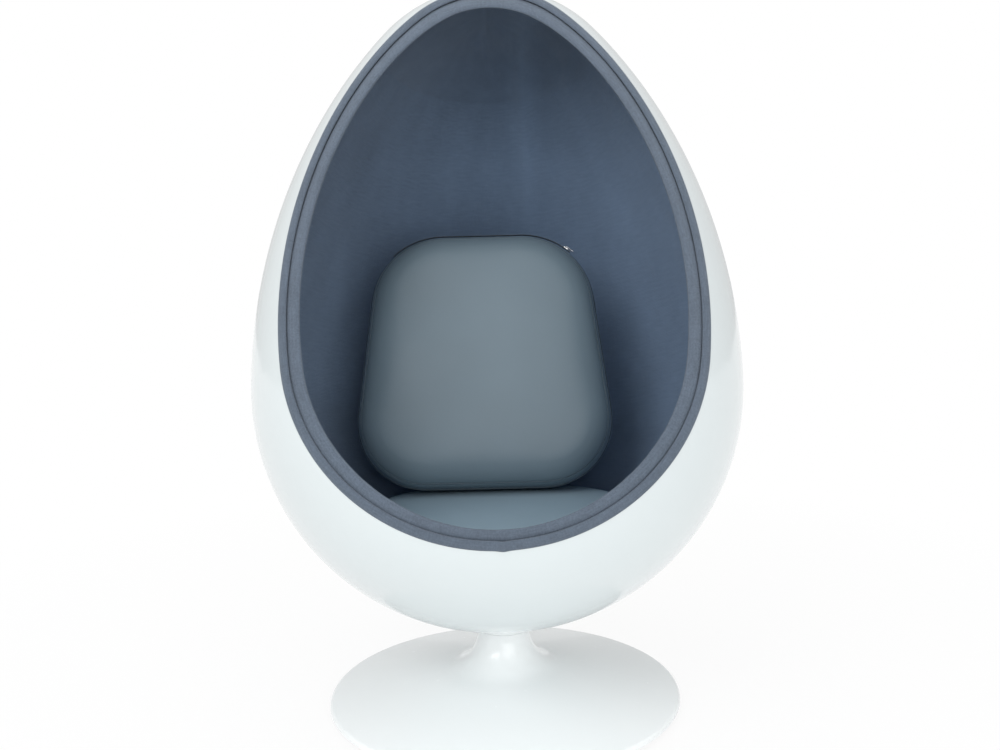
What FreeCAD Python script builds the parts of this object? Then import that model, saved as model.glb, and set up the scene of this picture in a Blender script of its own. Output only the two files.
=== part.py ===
import FreeCAD, Part
import math
import os
import Sketcher

# A pod chair: an egg shell open at the front, lined and cushioned, turning on a trumpet pedestal.
# Z is up, the opening faces -Y, and the origin is on the floor under the swivel axis.
# Lengths are in millimetres and angles in degrees.

SIZES = {
    # Egg: a half sphere below, one long side arc above it and a cap, all turned about a tilted axis.
    "egg_radius": 425.0,
    "side_radius": 997.0,
    "cap_radius": 268.0,
    "egg_tilt": 16.0,
    "opening_distance": 273.0,
    "opening_tilt": 25.2,
    "shell_wall": 6.0,
    "foam_wall": 16.0,
    "cloth_wall": 1.5,
    # Rim: a cloth band over the shell's cut edge and a padded roll inside it.
    "band_proud": 1.2,
    "band_width": 1.5,
    "band_front": 3.0,
    "band_back": 4.0,
    "band_round": 1.5,
    "roll_width": 17.0,
    "roll_front": 9.0,
    "roll_back": 26.0,
    "roll_inner_round": 6.5,
    "roll_outer_round": 5.5,
    # Pedestal skin.
    "base_radius": 317.5,
    "rim_height": 17.0,
    "rim_round": 7.0,
    "skin_wall": 3.0,
    "skin_lip": 32.0,
    "neck_radius": 46.5,
    "neck_straight": 2.5,
    "flare_radius": 70.0,
    # Stack inside the pedestal, from the floor up.
    "glide_height": 3.0,
    "glide_inset": 33.5,
    "glide_width": 14.0,
    "plate_thickness": 6.0,
    "plate_margin": 12.5,
    "column_height": 109.0,
    "column_radius": 30.0,
    "column_bore": 24.0,
    "column_foot": 60.0,
    "foot_thickness": 8.0,
    "shoulder_height": 19.0,
    "shoulder_thickness": 4.0,
    "shoulder_bore": 19.0,
    "ballast_inset": 92.5,
    "ballast_height": 17.0,
    "spindle_radius": 15.0,
    "spindle_tail": 11.0,
    "running_gap": 0.05,
    "bush_length": 20.0,
    "bush_flange": 3.0,
    "race_height": 5.0,
    "race_gap": 3.0,
    "race_inner": 16.5,
    "race_outer": 29.0,
    "ball_radius": 3.0,
    "ball_circle": 22.7,
    "ball_count": 18.0,
    "cage_thickness": 1.6,
    "clip_thickness": 1.6,
    "clip_outer": 18.6,
    "clip_depth": 1.4,
    "clip_slot": 9.0,
    "end_washer_gap": 1.5,
    "spacer_height": 9.0,
    # Joint between the swivel and the shell.
    "neck_gap": 0.4,
    "flange_thickness": 8.0,
    "flange_radius": 43.0,
    "collar_wall": 3.0,
    "saddle_thickness": 8.6,
    "pad_rise": 11.5,
    "pad_radius": 90.0,
    "mount_thickness": 5.0,
    "bolt_circle": 30.0,
    "bolt_radius": 4.0,
    "bolt_head_radius": 6.5,
    "bolt_head_height": 5.5,
    "bolt_count": 4.0,
    "washer_radius": 9.0,
    "washer_thickness": 1.6,
    "hole_gap": 0.2,
    "bonded_gap": 0.01,
    "edge_gap": 0.03,
    "cut_beyond": 1.0,
    # Screws under the base plate.
    "rim_screw_inset": 20.5,
    "rim_screw_radius": 2.5,
    "rim_screw_count": 6.0,
    "foot_screw_circle": 47.0,
    "foot_screw_radius": 4.0,
    "foot_screw_count": 4.0,
    "ballast_bolt_circle": 150.0,
    "ballast_bolt_radius": 4.0,
    "ballast_bolt_count": 3.0,
    "low_head_height": 2.5,
    "head_ratio": 1.8,
    # Seat.
    "part_gap": 0.3,
    "well_radius": 96.0,
    "well_height": 36.0,
    "seat_rise": 134.4,
    "board_thickness": 12.0,
    "board_radius": 248.0,
    "seat_half_front": 262.0,
    "seat_half_back": 258.0,
    "seat_length": 450.0,
    "seat_front": 270.0,
    "seat_round": 178.0,
    "seat_crown": 45.0,
    "seat_belly": 40.0,
    "seat_draw": 110.0,
    # Back.
    "back_half_low": 256.0,
    "back_half_high": 199.0,
    "back_length": 487.0,
    "back_round_low": 130.0,
    "back_round_high": 140.0,
    "back_crown": 65.0,
    "back_belly": 90.0,
    "back_draw": 130.0,
    "back_lean": 18.0,
    "back_place": 58.0,
    "back_shift": 26.0,
    "back_gap": 4.5,
    "support_half": 175.0,
    "support_low": 56.0,
    "support_high": 350.0,
    "support_round": 26.0,
    "cover_wall": 1.8,
    "least_round": 24.0,
    # Zips.
    "zip_width": 7.0,
    "zip_thickness": 1.2,
    "seat_zip_reach": 150.0,
    "back_zip_reach": 170.0,
    "slider_length": 9.0,
    "slider_width": 7.0,
    "slider_height": 3.0,
    "pull_length": 20.0,
    "pull_overlap": 2.25,
    "pull_width": 5.0,
    "pull_thickness": 1.2,
}

V = FreeCAD.Vector
REACH = 1600.0          # half the side of a cutting block, larger than the chair
CROWN_SECTIONS = 6      # sections on each side of a cushion's widest outline
HOLE_LENGTH = 60.0      # an upright hole's length, more than any part it goes through
FULL_TURN = 360.0
QUARTER_TURN = 90.0
NEAR = 0.01             # how far off two equal distances may be

doc = FreeCAD.newDocument("pod_chair")
sheet = doc.addObject("Spreadsheet::Sheet", "Sizes")
for row, (alias, number) in enumerate(SIZES.items(), start=1):
    sheet.set(f"A{row}", alias)
    sheet.set(f"B{row}", str(number))
    sheet.setAlias(f"B{row}", alias)
doc.recompute()


class Size:
    """A size worked out from the sheet: the expression that binds it and its present value."""

    def __init__(self, text, value):
        self.text = text
        self.value = value

    def __add__(self, other):
        other = as_size(other)
        return Size(f"({self.text} + {other.text})", self.value + other.value)

    def __sub__(self, other):
        other = as_size(other)
        return Size(f"({self.text} - {other.text})", self.value - other.value)

    def __mul__(self, other):
        other = as_size(other)
        return Size(f"({self.text} * {other.text})", self.value * other.value)

    def __truediv__(self, other):
        other = as_size(other)
        return Size(f"({self.text} / {other.text})", self.value / other.value)

    def __neg__(self):
        return Size(f"(0 - {self.text})", -self.value)


def as_size(number):
    return number if isinstance(number, Size) else Size(f"{number:g}", float(number))


def root(square):
    return Size(f"sqrt({square.text})", math.sqrt(square.value))


def sine(angle):
    return Size(f"sin({angle.text})", math.sin(math.radians(angle.value)))


def cosine(angle):
    return Size(f"cos({angle.text})", math.cos(math.radians(angle.value)))


def size(alias):
    return Size(f"Sizes.{alias}", float(sheet.get(alias)))


ZERO = as_size(0)

# Heights above the floor, each stacked on the one before.
plate_low = size("glide_height")
plate_top = plate_low + size("plate_thickness")
column_top = plate_top + size("column_height")
bush_top = column_top + size("bush_flange")
low_race_top = bush_top + size("race_height")
high_race_low = low_race_top + size("race_gap")
flange_low = high_race_low + size("race_height")
flange_top = flange_low + size("flange_thickness")
shell_low = flange_top + size("saddle_thickness")
egg_centre = shell_low + size("egg_radius")
neck_top = flange_low - size("neck_gap")
shoulder_low = plate_top + size("shoulder_height")
shoulder_top = shoulder_low + size("shoulder_thickness")
clip_top = shoulder_low - size("clip_thickness") - size("part_gap")
clip_low = clip_top - size("clip_thickness")
spindle_low = plate_top + size("spindle_tail")
pad_top = shell_low + size("shell_wall") + size("pad_rise")
mount_top = pad_top + size("mount_thickness")
washer_top = mount_top + size("washer_thickness")
board_top = shell_low + size("seat_rise")
board_low = board_top - size("board_thickness")
seat_middle = board_top + size("seat_belly") + size("part_gap")
seat_top = seat_middle + size("seat_crown")
back_low = seat_top + size("back_gap")

screw_circles = {
    "rim_screw": size("base_radius") - size("rim_screw_inset"),
    "foot_screw": size("foot_screw_circle"),
    "ballast_bolt": size("ballast_bolt_circle"),
}

# Depths into the egg's wall, measured square to its outer face.
foam_depth = size("shell_wall") + size("part_gap")
cloth_depth = foam_depth + size("foam_wall")
lining_depth = cloth_depth + size("cloth_wall")
band_depth = size("shell_wall") + size("band_width")
roll_depth = band_depth + size("part_gap")

pieces = []


def keep(piece, label):
    """Names a finished piece and puts it on the list of pieces to write."""
    piece.Label = label
    pieces.append(piece)
    return piece


def bind(thing, name, bound):
    thing.setExpression(name, bound.text)


def body_named(label):
    """Starts a body whose own name stays clear of its label."""
    return doc.addObject("PartDesign::Body", f"Body_{label}")


def origin_feature(body, role):
    return next(item for item in body.Origin.OriginFeatures if item.Role == role)


def new_sketch(body, plane, east=ZERO, north=ZERO, up=ZERO, turn=ZERO):
    """A sketch on one of the body's origin planes, moved and turned within that plane."""
    sketch = body.newObject("Sketcher::SketchObject", "Sketch")
    sketch.AttachmentSupport = [(origin_feature(body, plane), "")]
    sketch.MapMode = "FlatFace"
    spot = V(east.value, north.value, up.value)
    sketch.AttachmentOffset = FreeCAD.Placement(spot, FreeCAD.Rotation(V(0, 0, 1), turn.value))
    for axis, bound in (("x", east), ("y", north), ("z", up)):
        if bound is not ZERO:
            bind(sketch, f".AttachmentOffset.Base.{axis}", bound)
    if turn is not ZERO:
        bind(sketch, ".AttachmentOffset.Rotation.Angle", turn)
    return sketch


def arc_between(start, stop, radius, left):
    """The shorter arc between two points; left is true where its centre is left of the way along."""
    chord = stop - start
    middle = (start + stop) * 0.5
    rise = math.sqrt(max(radius ** 2 - (chord.Length / 2) ** 2, 0.0))
    side = V(-chord.y, chord.x, 0).normalize() * (rise if left else -rise)
    centre = middle + side
    first, last = (start, stop) if left else (stop, start)
    begin = math.atan2(first.y - centre.y, first.x - centre.x)
    end = math.atan2(last.y - centre.y, last.x - centre.x)
    return Part.ArcOfCircle(Part.Circle(centre, V(0, 0, 1), radius), begin, end)


def pin_coordinate(sketch, kind, axis, curve, point, bound):
    """Ties one coordinate of a curve's end to the sheet, or to the axis where it is nought."""
    if bound is ZERO:
        sketch.addConstraint(Sketcher.Constraint("PointOnObject", curve, point, axis))
        return
    place = sketch.addConstraint(Sketcher.Constraint(kind, -1, 1, curve, point, bound.value))
    bind(sketch, f"Constraints[{place}]", bound)


def draw_outline(sketch, points, arcs=None):
    """Closes an outline through the points. arcs maps an edge's number to (radius, left)."""
    arcs = arcs or {}
    ends = [V(east.value, north.value, 0) for east, north in points]
    joins = []
    first = sketch.GeometryCount
    for number, start in enumerate(ends):
        stop = ends[(number + 1) % len(ends)]
        if number in arcs:
            radius, left = arcs[number]
            curve = sketch.addGeometry(arc_between(start, stop, radius.value, left))
            place = sketch.addConstraint(Sketcher.Constraint("Radius", curve, radius.value))
            bind(sketch, f"Constraints[{place}]", radius)
            joins.append((1, 2) if left else (2, 1))
        else:
            sketch.addGeometry(Part.LineSegment(start, stop))
            joins.append((1, 2))
    for number, (east, north) in enumerate(points):
        before = (number - 1) % len(points)
        pin_coordinate(sketch, "DistanceX", -2, first + number, joins[number][0], east)
        pin_coordinate(sketch, "DistanceY", -1, first + number, joins[number][0], north)
        sketch.addConstraint(Sketcher.Constraint(
            "Coincident", first + before, joins[before][1], first + number, joins[number][0]))


def draw_circle(sketch, east, radius):
    """A full circle with its centre on the sketch's horizontal axis."""
    curve = sketch.addGeometry(Part.Circle(V(east.value, 0, 0), V(0, 0, 1), radius.value))
    sketch.addConstraint(Sketcher.Constraint("PointOnObject", curve, 3, -1))
    pin_coordinate(sketch, "DistanceX", -2, curve, 3, east)
    place = sketch.addConstraint(Sketcher.Constraint("Radius", curve, radius.value))
    bind(sketch, f"Constraints[{place}]", radius)


def revolve(body, sketch):
    """Turns a sketch once round its own vertical axis."""
    turned = body.newObject("PartDesign::Revolution", "Turned")
    turned.Profile = sketch
    turned.ReferenceAxis = (sketch, ["V_Axis"])
    turned.Angle = FULL_TURN
    sketch.Visibility = False
    return turned


def cut_through(body, sketch, length=None):
    """Cuts a sketch through the body both ways, or by a bound length to each side."""
    cut = body.newObject("PartDesign::Pocket", "Cut")
    cut.Profile = sketch
    cut.SideType = "Symmetric"
    cut.Length = 2 * REACH
    if length is not None:
        bind(cut, "Length", length)
    return cut


def repeat_round(body, feature, count):
    """Repeats a feature round the vertical axis."""
    pattern = body.newObject("PartDesign::PolarPattern", "Round")
    pattern.Originals = [feature]
    pattern.Axis = (origin_feature(body, "Z_Axis"), [""])
    pattern.Angle = FULL_TURN
    pattern.Occurrences = int(count.value)
    bind(pattern, "Occurrences", count)
    body.Tip = pattern
    return pattern


def turned_body(label, points, arcs=None):
    """A piece turned about the swivel axis, from points of radius and height."""
    body = body_named(label)
    sketch = new_sketch(body, "XZ_Plane")
    draw_outline(sketch, points, arcs)
    revolve(body, sketch)
    return body


def ring_points(inner, outer, low, high):
    return [(inner, low), (outer, low), (outer, high), (inner, high)]


def drill_round(body, circle, radius, count, height, length=None):
    """A ring of upright holes, reaching half their length above and below the stated height."""
    sketch = new_sketch(body, "XY_Plane", up=height)
    draw_circle(sketch, circle, radius)
    cut = cut_through(body, sketch, length or as_size(HOLE_LENGTH))
    repeat_round(body, cut, count)


def fastener_ring(label, outline, circle, count):
    """A ring of like fasteners, each turned about its own upright axis."""
    body = body_named(label)
    sketch = new_sketch(body, "XZ_Plane", east=circle)
    draw_outline(sketch, outline)
    turned = revolve(body, sketch)
    repeat_round(body, turned, count)
    return keep(body, label)


def bolt_outline(shank, head, tip, seat, crown):
    """Half of a headed bolt: its tip and its head's crown may lie either way up."""
    return [(ZERO, tip), (shank, tip), (shank, seat), (head, seat), (head, crown), (ZERO, crown)]


# Egg and opening

def egg_outline(outer, inner=None):
    """Half of the egg's wall between two depths, or the whole half where inner is left out."""
    side_centre = size("egg_radius") - size("side_radius")
    cap_reach = size("side_radius") - size("cap_radius")
    cap_centre = root(cap_reach * cap_reach - side_centre * side_centre)

    def face(depth):
        low = size("egg_radius") - depth
        side = size("side_radius") - depth
        cap = size("cap_radius") - depth
        meet = (side_centre - side * side_centre / cap_reach, side * cap_centre / cap_reach)
        return [(ZERO, -low), (low, ZERO), meet, (ZERO, cap_centre + cap)], (low, side, cap)

    points, radii = face(outer)
    arcs = {number: (radius, True) for number, radius in enumerate(radii)}
    if inner is not None:
        inner_points, inner_radii = face(inner)
        points = points + inner_points[::-1]
        arcs.update({number + 4: (radius, False) for number, radius in enumerate(inner_radii[::-1])})
    return points, arcs


def egg_body(label, outer, inner=None):
    body = body_named(label)
    sketch = new_sketch(body, "YZ_Plane", north=egg_centre, turn=-size("egg_tilt"))
    points, arcs = egg_outline(outer, inner)
    draw_outline(sketch, points, arcs)
    revolve(body, sketch)
    return body


def opening_sketch(body):
    """A sketch whose vertical axis points out of the opening, square to its plane."""
    return new_sketch(body, "YZ_Plane", north=egg_centre, turn=as_size(QUARTER_TURN) - size("opening_tilt"))


def cut_slab(body, near, far):
    """Cuts away what lies between two distances from the egg's centre along the opening's axis."""
    sketch = opening_sketch(body)
    width = as_size(REACH)
    draw_outline(sketch, [(-width, near), (width, near), (width, far), (-width, far)])
    cut_through(body, sketch)


def open_front(body, front):
    cut_slab(body, size("opening_distance") + front, as_size(REACH))


def keep_rim(body, front, back):
    open_front(body, front)
    cut_slab(body, -as_size(REACH), size("opening_distance") - back)


def rim_face(shape, reach):
    """The flat face at a distance from the egg's centre along the opening's axis."""
    tilt = math.radians(size("opening_tilt").value)
    out = V(0, -math.cos(tilt), math.sin(tilt))
    centre = V(0, 0, egg_centre.value)
    for face in shape.Faces:
        flat = isinstance(face.Surface, Part.Plane)
        if flat and abs((face.CenterOfMass - centre).dot(out) - reach) < NEAR:
            return face
    raise RuntimeError("the rim has no face at that distance")


def round_front(body, front, wanted, bound):
    """Rounds one edge loop of the rim's front face; wanted is 'outer' or 'inner'."""
    doc.recompute()
    base = body.Tip
    face = rim_face(base.Shape, size("opening_distance").value + front.value)
    loops = sorted(face.Wires, key=lambda wire: wire.BoundBox.DiagonalLength)
    loop = loops[-1] if wanted == "outer" else loops[0]
    names = [f"Edge{number}" for number, edge in enumerate(base.Shape.Edges, start=1)
             if any(edge.isSame(other) for other in loop.Edges)]
    fillet = body.newObject("PartDesign::Fillet", "Rounded")
    fillet.Base = (base, names)
    fillet.Radius = bound.value
    bind(fillet, "Radius", bound)


def outer_shell():
    body = egg_body("outer_shell", ZERO, size("shell_wall"))
    open_front(body, ZERO)
    drill_round(body, size("bolt_circle"), bolt_hole, size("bolt_count"), shell_low)
    keep(body, "outer_shell")


def lining(label, outer, inner):
    """One layer of the lining, open at the front behind the roll and round the mounting well."""
    body = egg_body(label, outer, inner)
    open_front(body, -size("roll_back") - size("part_gap"))
    sketch = new_sketch(body, "XY_Plane")
    draw_circle(sketch, ZERO, size("well_radius"))
    cut_through(body, sketch, egg_centre)
    keep(body, label)


def rim_band():
    band = egg_body("rim_band_solid", -size("band_proud"), band_depth)
    keep_rim(band, size("band_front"), size("band_back"))
    round_front(band, size("band_front"), "outer", size("band_round"))
    edge = egg_body("shell_edge", -size("edge_gap"), size("shell_wall") + size("edge_gap"))
    open_front(edge, size("edge_gap"))
    cut = doc.addObject("Part::Cut", "RimBand")
    cut.Base = band
    cut.Tool = edge
    keep(cut, "rim_band")


def rim_roll():
    body = egg_body("rim_roll", roll_depth, roll_depth + size("roll_width"))
    keep_rim(body, size("roll_front"), size("roll_back"))
    round_front(body, size("roll_front"), "outer", size("roll_outer_round"))
    round_front(body, size("roll_front"), "inner", size("roll_inner_round"))
    keep(body, "rim_roll")


# Pedestal

def pedestal():
    """The trumpet skin: a flare, a cone and a rounded rim, with a lip turned in below."""
    wall = size("skin_wall")
    flare = size("flare_radius")
    rim = size("rim_round")
    flare_east = size("neck_radius") + flare
    flare_north = neck_top - size("neck_straight")
    rim_east = size("base_radius") - rim
    rim_north = size("rim_height") - rim
    east = rim_east - flare_east
    north = rim_north - flare_north
    span = east * east + north * north
    run = root(span - (flare + rim) * (flare + rim))
    # The cone touches both arcs; its normal follows from the line between their centres.
    normal_east = (-north * run - (flare + rim) * east) / span
    normal_north = (east * run - (flare + rim) * north) / span

    def on_cone(centre_east, centre_north, reach):
        return centre_east + normal_east * reach, centre_north + normal_north * reach

    lip_top = plate_top + wall
    points = [
        (size("neck_radius"), neck_top),
        (size("neck_radius"), flare_north),
        on_cone(flare_east, flare_north, -flare),
        on_cone(rim_east, rim_north, rim),
        (size("base_radius"), rim_north),
        (size("base_radius"), plate_top),
        (size("base_radius") - size("skin_lip"), plate_top),
        (size("base_radius") - size("skin_lip"), lip_top),
        (rim_east, lip_top),
        on_cone(rim_east, rim_north, rim - wall),
        on_cone(flare_east, flare_north, -flare - wall),
        (size("neck_radius") - wall, flare_north),
        (size("neck_radius") - wall, neck_top),
    ]
    arcs = {1: (flare, True), 3: (rim, False), 10: (flare + wall, False)}
    body = turned_body("pedestal_skin", points, arcs)
    drill_round(body, screw_circles["rim_screw"], size("rim_screw_radius") + size("running_gap"),
                size("rim_screw_count"), plate_top + wall / 2, wall * 2)
    keep(body, "pedestal_skin")


def base_plate():
    plate_radius = size("base_radius") - size("plate_margin")
    body = turned_body("base_plate", ring_points(size("column_bore"), plate_radius, plate_low, plate_top))
    for name, circle in screw_circles.items():
        radius = size(f"{name}_radius") + size("hole_gap")
        drill_round(body, circle, radius, size(f"{name}_count"), plate_low)
    keep(body, "base_plate")


def glide_ring():
    outer = size("base_radius") - size("glide_inset")
    keep(turned_body("floor_glide", ring_points(outer - size("glide_width"), outer, ZERO, plate_low)),
         "floor_glide")


def ballast():
    inner = size("column_foot") + size("part_gap")
    outer = size("base_radius") - size("ballast_inset")
    top = plate_top + size("ballast_height")
    body = turned_body("ballast_ring", ring_points(inner, outer, plate_top, top))
    drill_round(body, size("ballast_bolt_circle"), size("ballast_bolt_radius") + size("hole_gap"),
                size("ballast_bolt_count"), plate_top)
    keep(body, "ballast_ring")


def column():
    foot_top = plate_top + size("foot_thickness")
    points = [
        (size("column_bore"), plate_top),
        (size("column_foot"), plate_top),
        (size("column_foot"), foot_top),
        (size("column_radius"), foot_top),
        (size("column_radius"), column_top),
        (size("column_bore"), column_top),
        (size("column_bore"), shoulder_top),
        (size("shoulder_bore"), shoulder_top),
        (size("shoulder_bore"), shoulder_low),
        (size("column_bore"), shoulder_low),
    ]
    body = turned_body("swivel_column", points)
    drill_round(body, size("foot_screw_circle"), size("foot_screw_radius") + size("running_gap"),
                size("foot_screw_count"), plate_top)
    keep(body, "swivel_column")


def screws():
    """The three rings of screws and bolts, each with its tip, bearing face and crown."""
    low = plate_low - size("low_head_height")
    ballast_top = plate_top + size("ballast_height")
    heights = {
        "rim_screw": (plate_top + size("skin_wall"), plate_low, low),
        "foot_screw": (plate_top + size("foot_thickness"), plate_low, low),
        "ballast_bolt": (plate_low, ballast_top, ballast_top + size("low_head_height")),
    }
    for name, (tip, bearing, crown) in heights.items():
        shank = size(f"{name}_radius")
        outline = bolt_outline(shank, shank * size("head_ratio"), tip, bearing, crown)
        fastener_ring(f"{name}s", outline, screw_circles[name], size(f"{name}_count"))


def neck_spacer():
    """The plastic ring that centres the skin's neck on the column."""
    top = neck_top - size("neck_straight") - size("part_gap")
    low = top - size("spacer_height")
    inner = size("column_radius") + size("running_gap")
    outer = size("neck_radius") - size("skin_wall") - size("part_gap")
    keep(turned_body("neck_spacer", ring_points(inner, outer, low, top)), "neck_spacer")


# Swivel

def bushes():
    bore = size("spindle_radius") + size("running_gap")
    wall = size("column_bore") - size("running_gap")
    low = column_top - size("bush_length")
    points = [(bore, low), (wall, low), (wall, column_top), (size("race_outer"), column_top),
              (size("race_outer"), bush_top), (bore, bush_top)]
    keep(turned_body("upper_bush", points), "upper_bush")
    top = shoulder_top + size("bush_length")
    keep(turned_body("lower_bush", ring_points(bore, wall, shoulder_top, top)), "lower_bush")


def race(label, low, high, groove_up):
    """One washer of the bearing, grooved for the balls that rest in the lower and clear the upper."""
    sink = size("ball_radius") - size("race_gap") / 2
    if not groove_up:
        sink = sink + size("running_gap")
    groove = size("ball_radius") + size("running_gap")
    drop = groove - sink
    half = root(groove * groove - drop * drop)
    circle = size("ball_circle")
    inner, outer = size("race_inner"), size("race_outer")
    if groove_up:
        points = [(inner, low), (outer, low), (outer, high), (circle + half, high),
                  (circle - half, high), (inner, high)]
        arcs = {3: (groove, False)}
    else:
        points = [(inner, low), (circle - half, low), (circle + half, low), (outer, low),
                  (outer, high), (inner, high)]
        arcs = {1: (groove, False)}
    keep(turned_body(label, points, arcs), label)


def balls_and_cage():
    middle = low_race_top + size("race_gap") / 2
    radius = size("ball_radius")
    body = body_named("bearing_balls")
    sketch = new_sketch(body, "XZ_Plane", east=size("ball_circle"), north=middle)
    draw_outline(sketch, [(ZERO, -radius), (radius, ZERO), (ZERO, radius)],
                 {0: (radius, True), 1: (radius, True)})
    repeat_round(body, revolve(body, sketch), size("ball_count"))
    keep(body, "bearing_balls")
    half = size("cage_thickness") / 2
    cage = turned_body("ball_cage", ring_points(size("race_inner") + size("part_gap"),
                                                size("race_outer") - size("part_gap"),
                                                middle - half, middle + half))
    drill_round(cage, size("ball_circle"), radius + size("running_gap") * 2, size("ball_count"), middle)
    keep(cage, "ball_cage")


def spindle():
    groove = size("spindle_radius") - size("clip_depth")
    clip_room = size("running_gap")
    points = [
        (ZERO, spindle_low),
        (size("spindle_radius"), spindle_low),
        (size("spindle_radius"), clip_low - clip_room),
        (groove, clip_low - clip_room),
        (groove, clip_top + clip_room),
        (size("spindle_radius"), clip_top + clip_room),
        (size("spindle_radius"), flange_top),
        (ZERO, flange_top),
    ]
    keep(turned_body("spindle", points), "spindle")


def clip_and_washer():
    groove = size("spindle_radius") - size("clip_depth") + size("running_gap")
    clip = turned_body("retaining_clip", ring_points(groove, size("clip_outer"), clip_low, clip_top))
    sketch = new_sketch(clip, "XY_Plane", up=clip_low)
    half = size("clip_slot") / 2
    reach = size("clip_outer") * 2
    draw_outline(sketch, [(ZERO, -half), (reach, -half), (reach, half), (ZERO, half)])
    cut_through(clip, sketch, as_size(HOLE_LENGTH))
    keep(clip, "retaining_clip")
    bore = size("spindle_radius") + size("running_gap") * 2
    outer = size("column_bore") - size("end_washer_gap")
    rest = clip_top + size("running_gap")
    keep(turned_body("end_washer", ring_points(bore, outer, rest, shoulder_low - size("running_gap"))),
         "end_washer")


def swivel_flange():
    bore = size("spindle_radius") + size("bonded_gap")
    body = turned_body("swivel_flange", ring_points(bore, size("flange_radius"), flange_low, flange_top))
    drill_round(body, size("bolt_circle"), size("bolt_radius") + size("running_gap"),
                size("bolt_count"), flange_low)
    keep(body, "swivel_flange")


# Joint between the flange and the shell

def upright_cylinder(name, radius, low, high):
    block = doc.addObject("Part::Cylinder", name)
    bind(block, "Radius", radius)
    bind(block, "Height", high - low)
    bind(block, ".Placement.Base.z", low)
    return block


def ball_at_centre(name, radius):
    ball = doc.addObject("Part::Sphere", name)
    bind(ball, "Radius", radius)
    bind(ball, ".Placement.Base.z", egg_centre)
    return ball


def joined(kind, name, first, second):
    result = doc.addObject(f"Part::{kind}", name)
    result.Base = first
    result.Tool = second
    return result


def drilled(shape, name, low, high):
    """The shape with the mounting bolts' holes through it."""
    for number in range(int(size("bolt_count").value)):
        hole = upright_cylinder(f"{name}Hole{number}", bolt_hole, low, high)
        turn = as_size(number * FULL_TURN) / size("bolt_count")
        bind(hole, ".Placement.Base.x", size("bolt_circle") * cosine(turn))
        bind(hole, ".Placement.Base.y", size("bolt_circle") * sine(turn))
        shape = joined("Cut", f"{name}Drilled{number}", shape, hole)
    return shape


def saddle_pad():
    """Fills the space between the flat flange and the round shell."""
    block = upright_cylinder("SaddleBlock", size("flange_radius"), flange_top, shell_low + size("pad_rise"))
    cut = joined("Cut", "Saddle", block, ball_at_centre("SaddleBall", size("egg_radius")))
    low = flange_top - size("cut_beyond")
    keep(drilled(cut, "Saddle", low, shell_low + size("pad_rise")), "saddle_pad")


def swivel_collar():
    """The white ring that hides the flange, scribed to the shell."""
    outer = size("neck_radius")
    inner = outer - size("collar_wall")
    wall = upright_cylinder("CollarBlock", outer, flange_low, shell_low + size("pad_rise"))
    low = flange_low - size("cut_beyond")
    bore = upright_cylinder("CollarBore", inner, low, shell_low + size("pad_rise"))
    ring = joined("Cut", "CollarRing", wall, bore)
    keep(joined("Cut", "Collar", ring, ball_at_centre("CollarBall", size("egg_radius"))), "swivel_collar")


def inner_pad():
    block = upright_cylinder("PadBlock", size("pad_radius"), shell_low, pad_top)
    ball = ball_at_centre("PadBall", size("egg_radius") - size("shell_wall"))
    high = pad_top + size("cut_beyond")
    keep(drilled(joined("Common", "Pad", block, ball), "Pad", shell_low, high), "inner_pad")


def mounting_plate():
    body = turned_body("mounting_plate", [(ZERO, pad_top), (size("pad_radius"), pad_top),
                                          (size("pad_radius"), mount_top), (ZERO, mount_top)])
    drill_round(body, size("bolt_circle"), bolt_hole, size("bolt_count"), pad_top)
    keep(body, "mounting_plate")


def mounting_bolts():
    tip = flange_low + size("part_gap")
    crown = washer_top + size("bolt_head_height")
    outline = bolt_outline(size("bolt_radius"), size("bolt_head_radius"), tip, washer_top, crown)
    fastener_ring("mounting_bolts", outline, size("bolt_circle"), size("bolt_count"))
    washer = ring_points(bolt_hole, size("washer_radius"), mount_top, washer_top)
    fastener_ring("bolt_washers", washer, size("bolt_circle"), size("bolt_count"))


# Seat and back

def seat_foam():
    """The block that fills the bowl under the seat board, hollowed over the mounting bolts."""
    ball = ball_at_centre("SeatBall", size("egg_radius") - lining_depth - size("part_gap"))
    block = upright_cylinder("SeatBlock", size("egg_radius"), shell_low, board_low)
    well = upright_cylinder("SeatWell", size("well_radius"), shell_low, shell_low + size("well_height"))
    bowl = joined("Common", "SeatBowl", block, ball)
    keep(joined("Cut", "SeatFoam", bowl, well), "seat_foam")


def seat_board():
    keep(turned_body("seat_board", [(ZERO, board_low), (size("board_radius"), board_low),
                                    (size("board_radius"), board_top), (ZERO, board_top)]), "seat_board")


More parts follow.
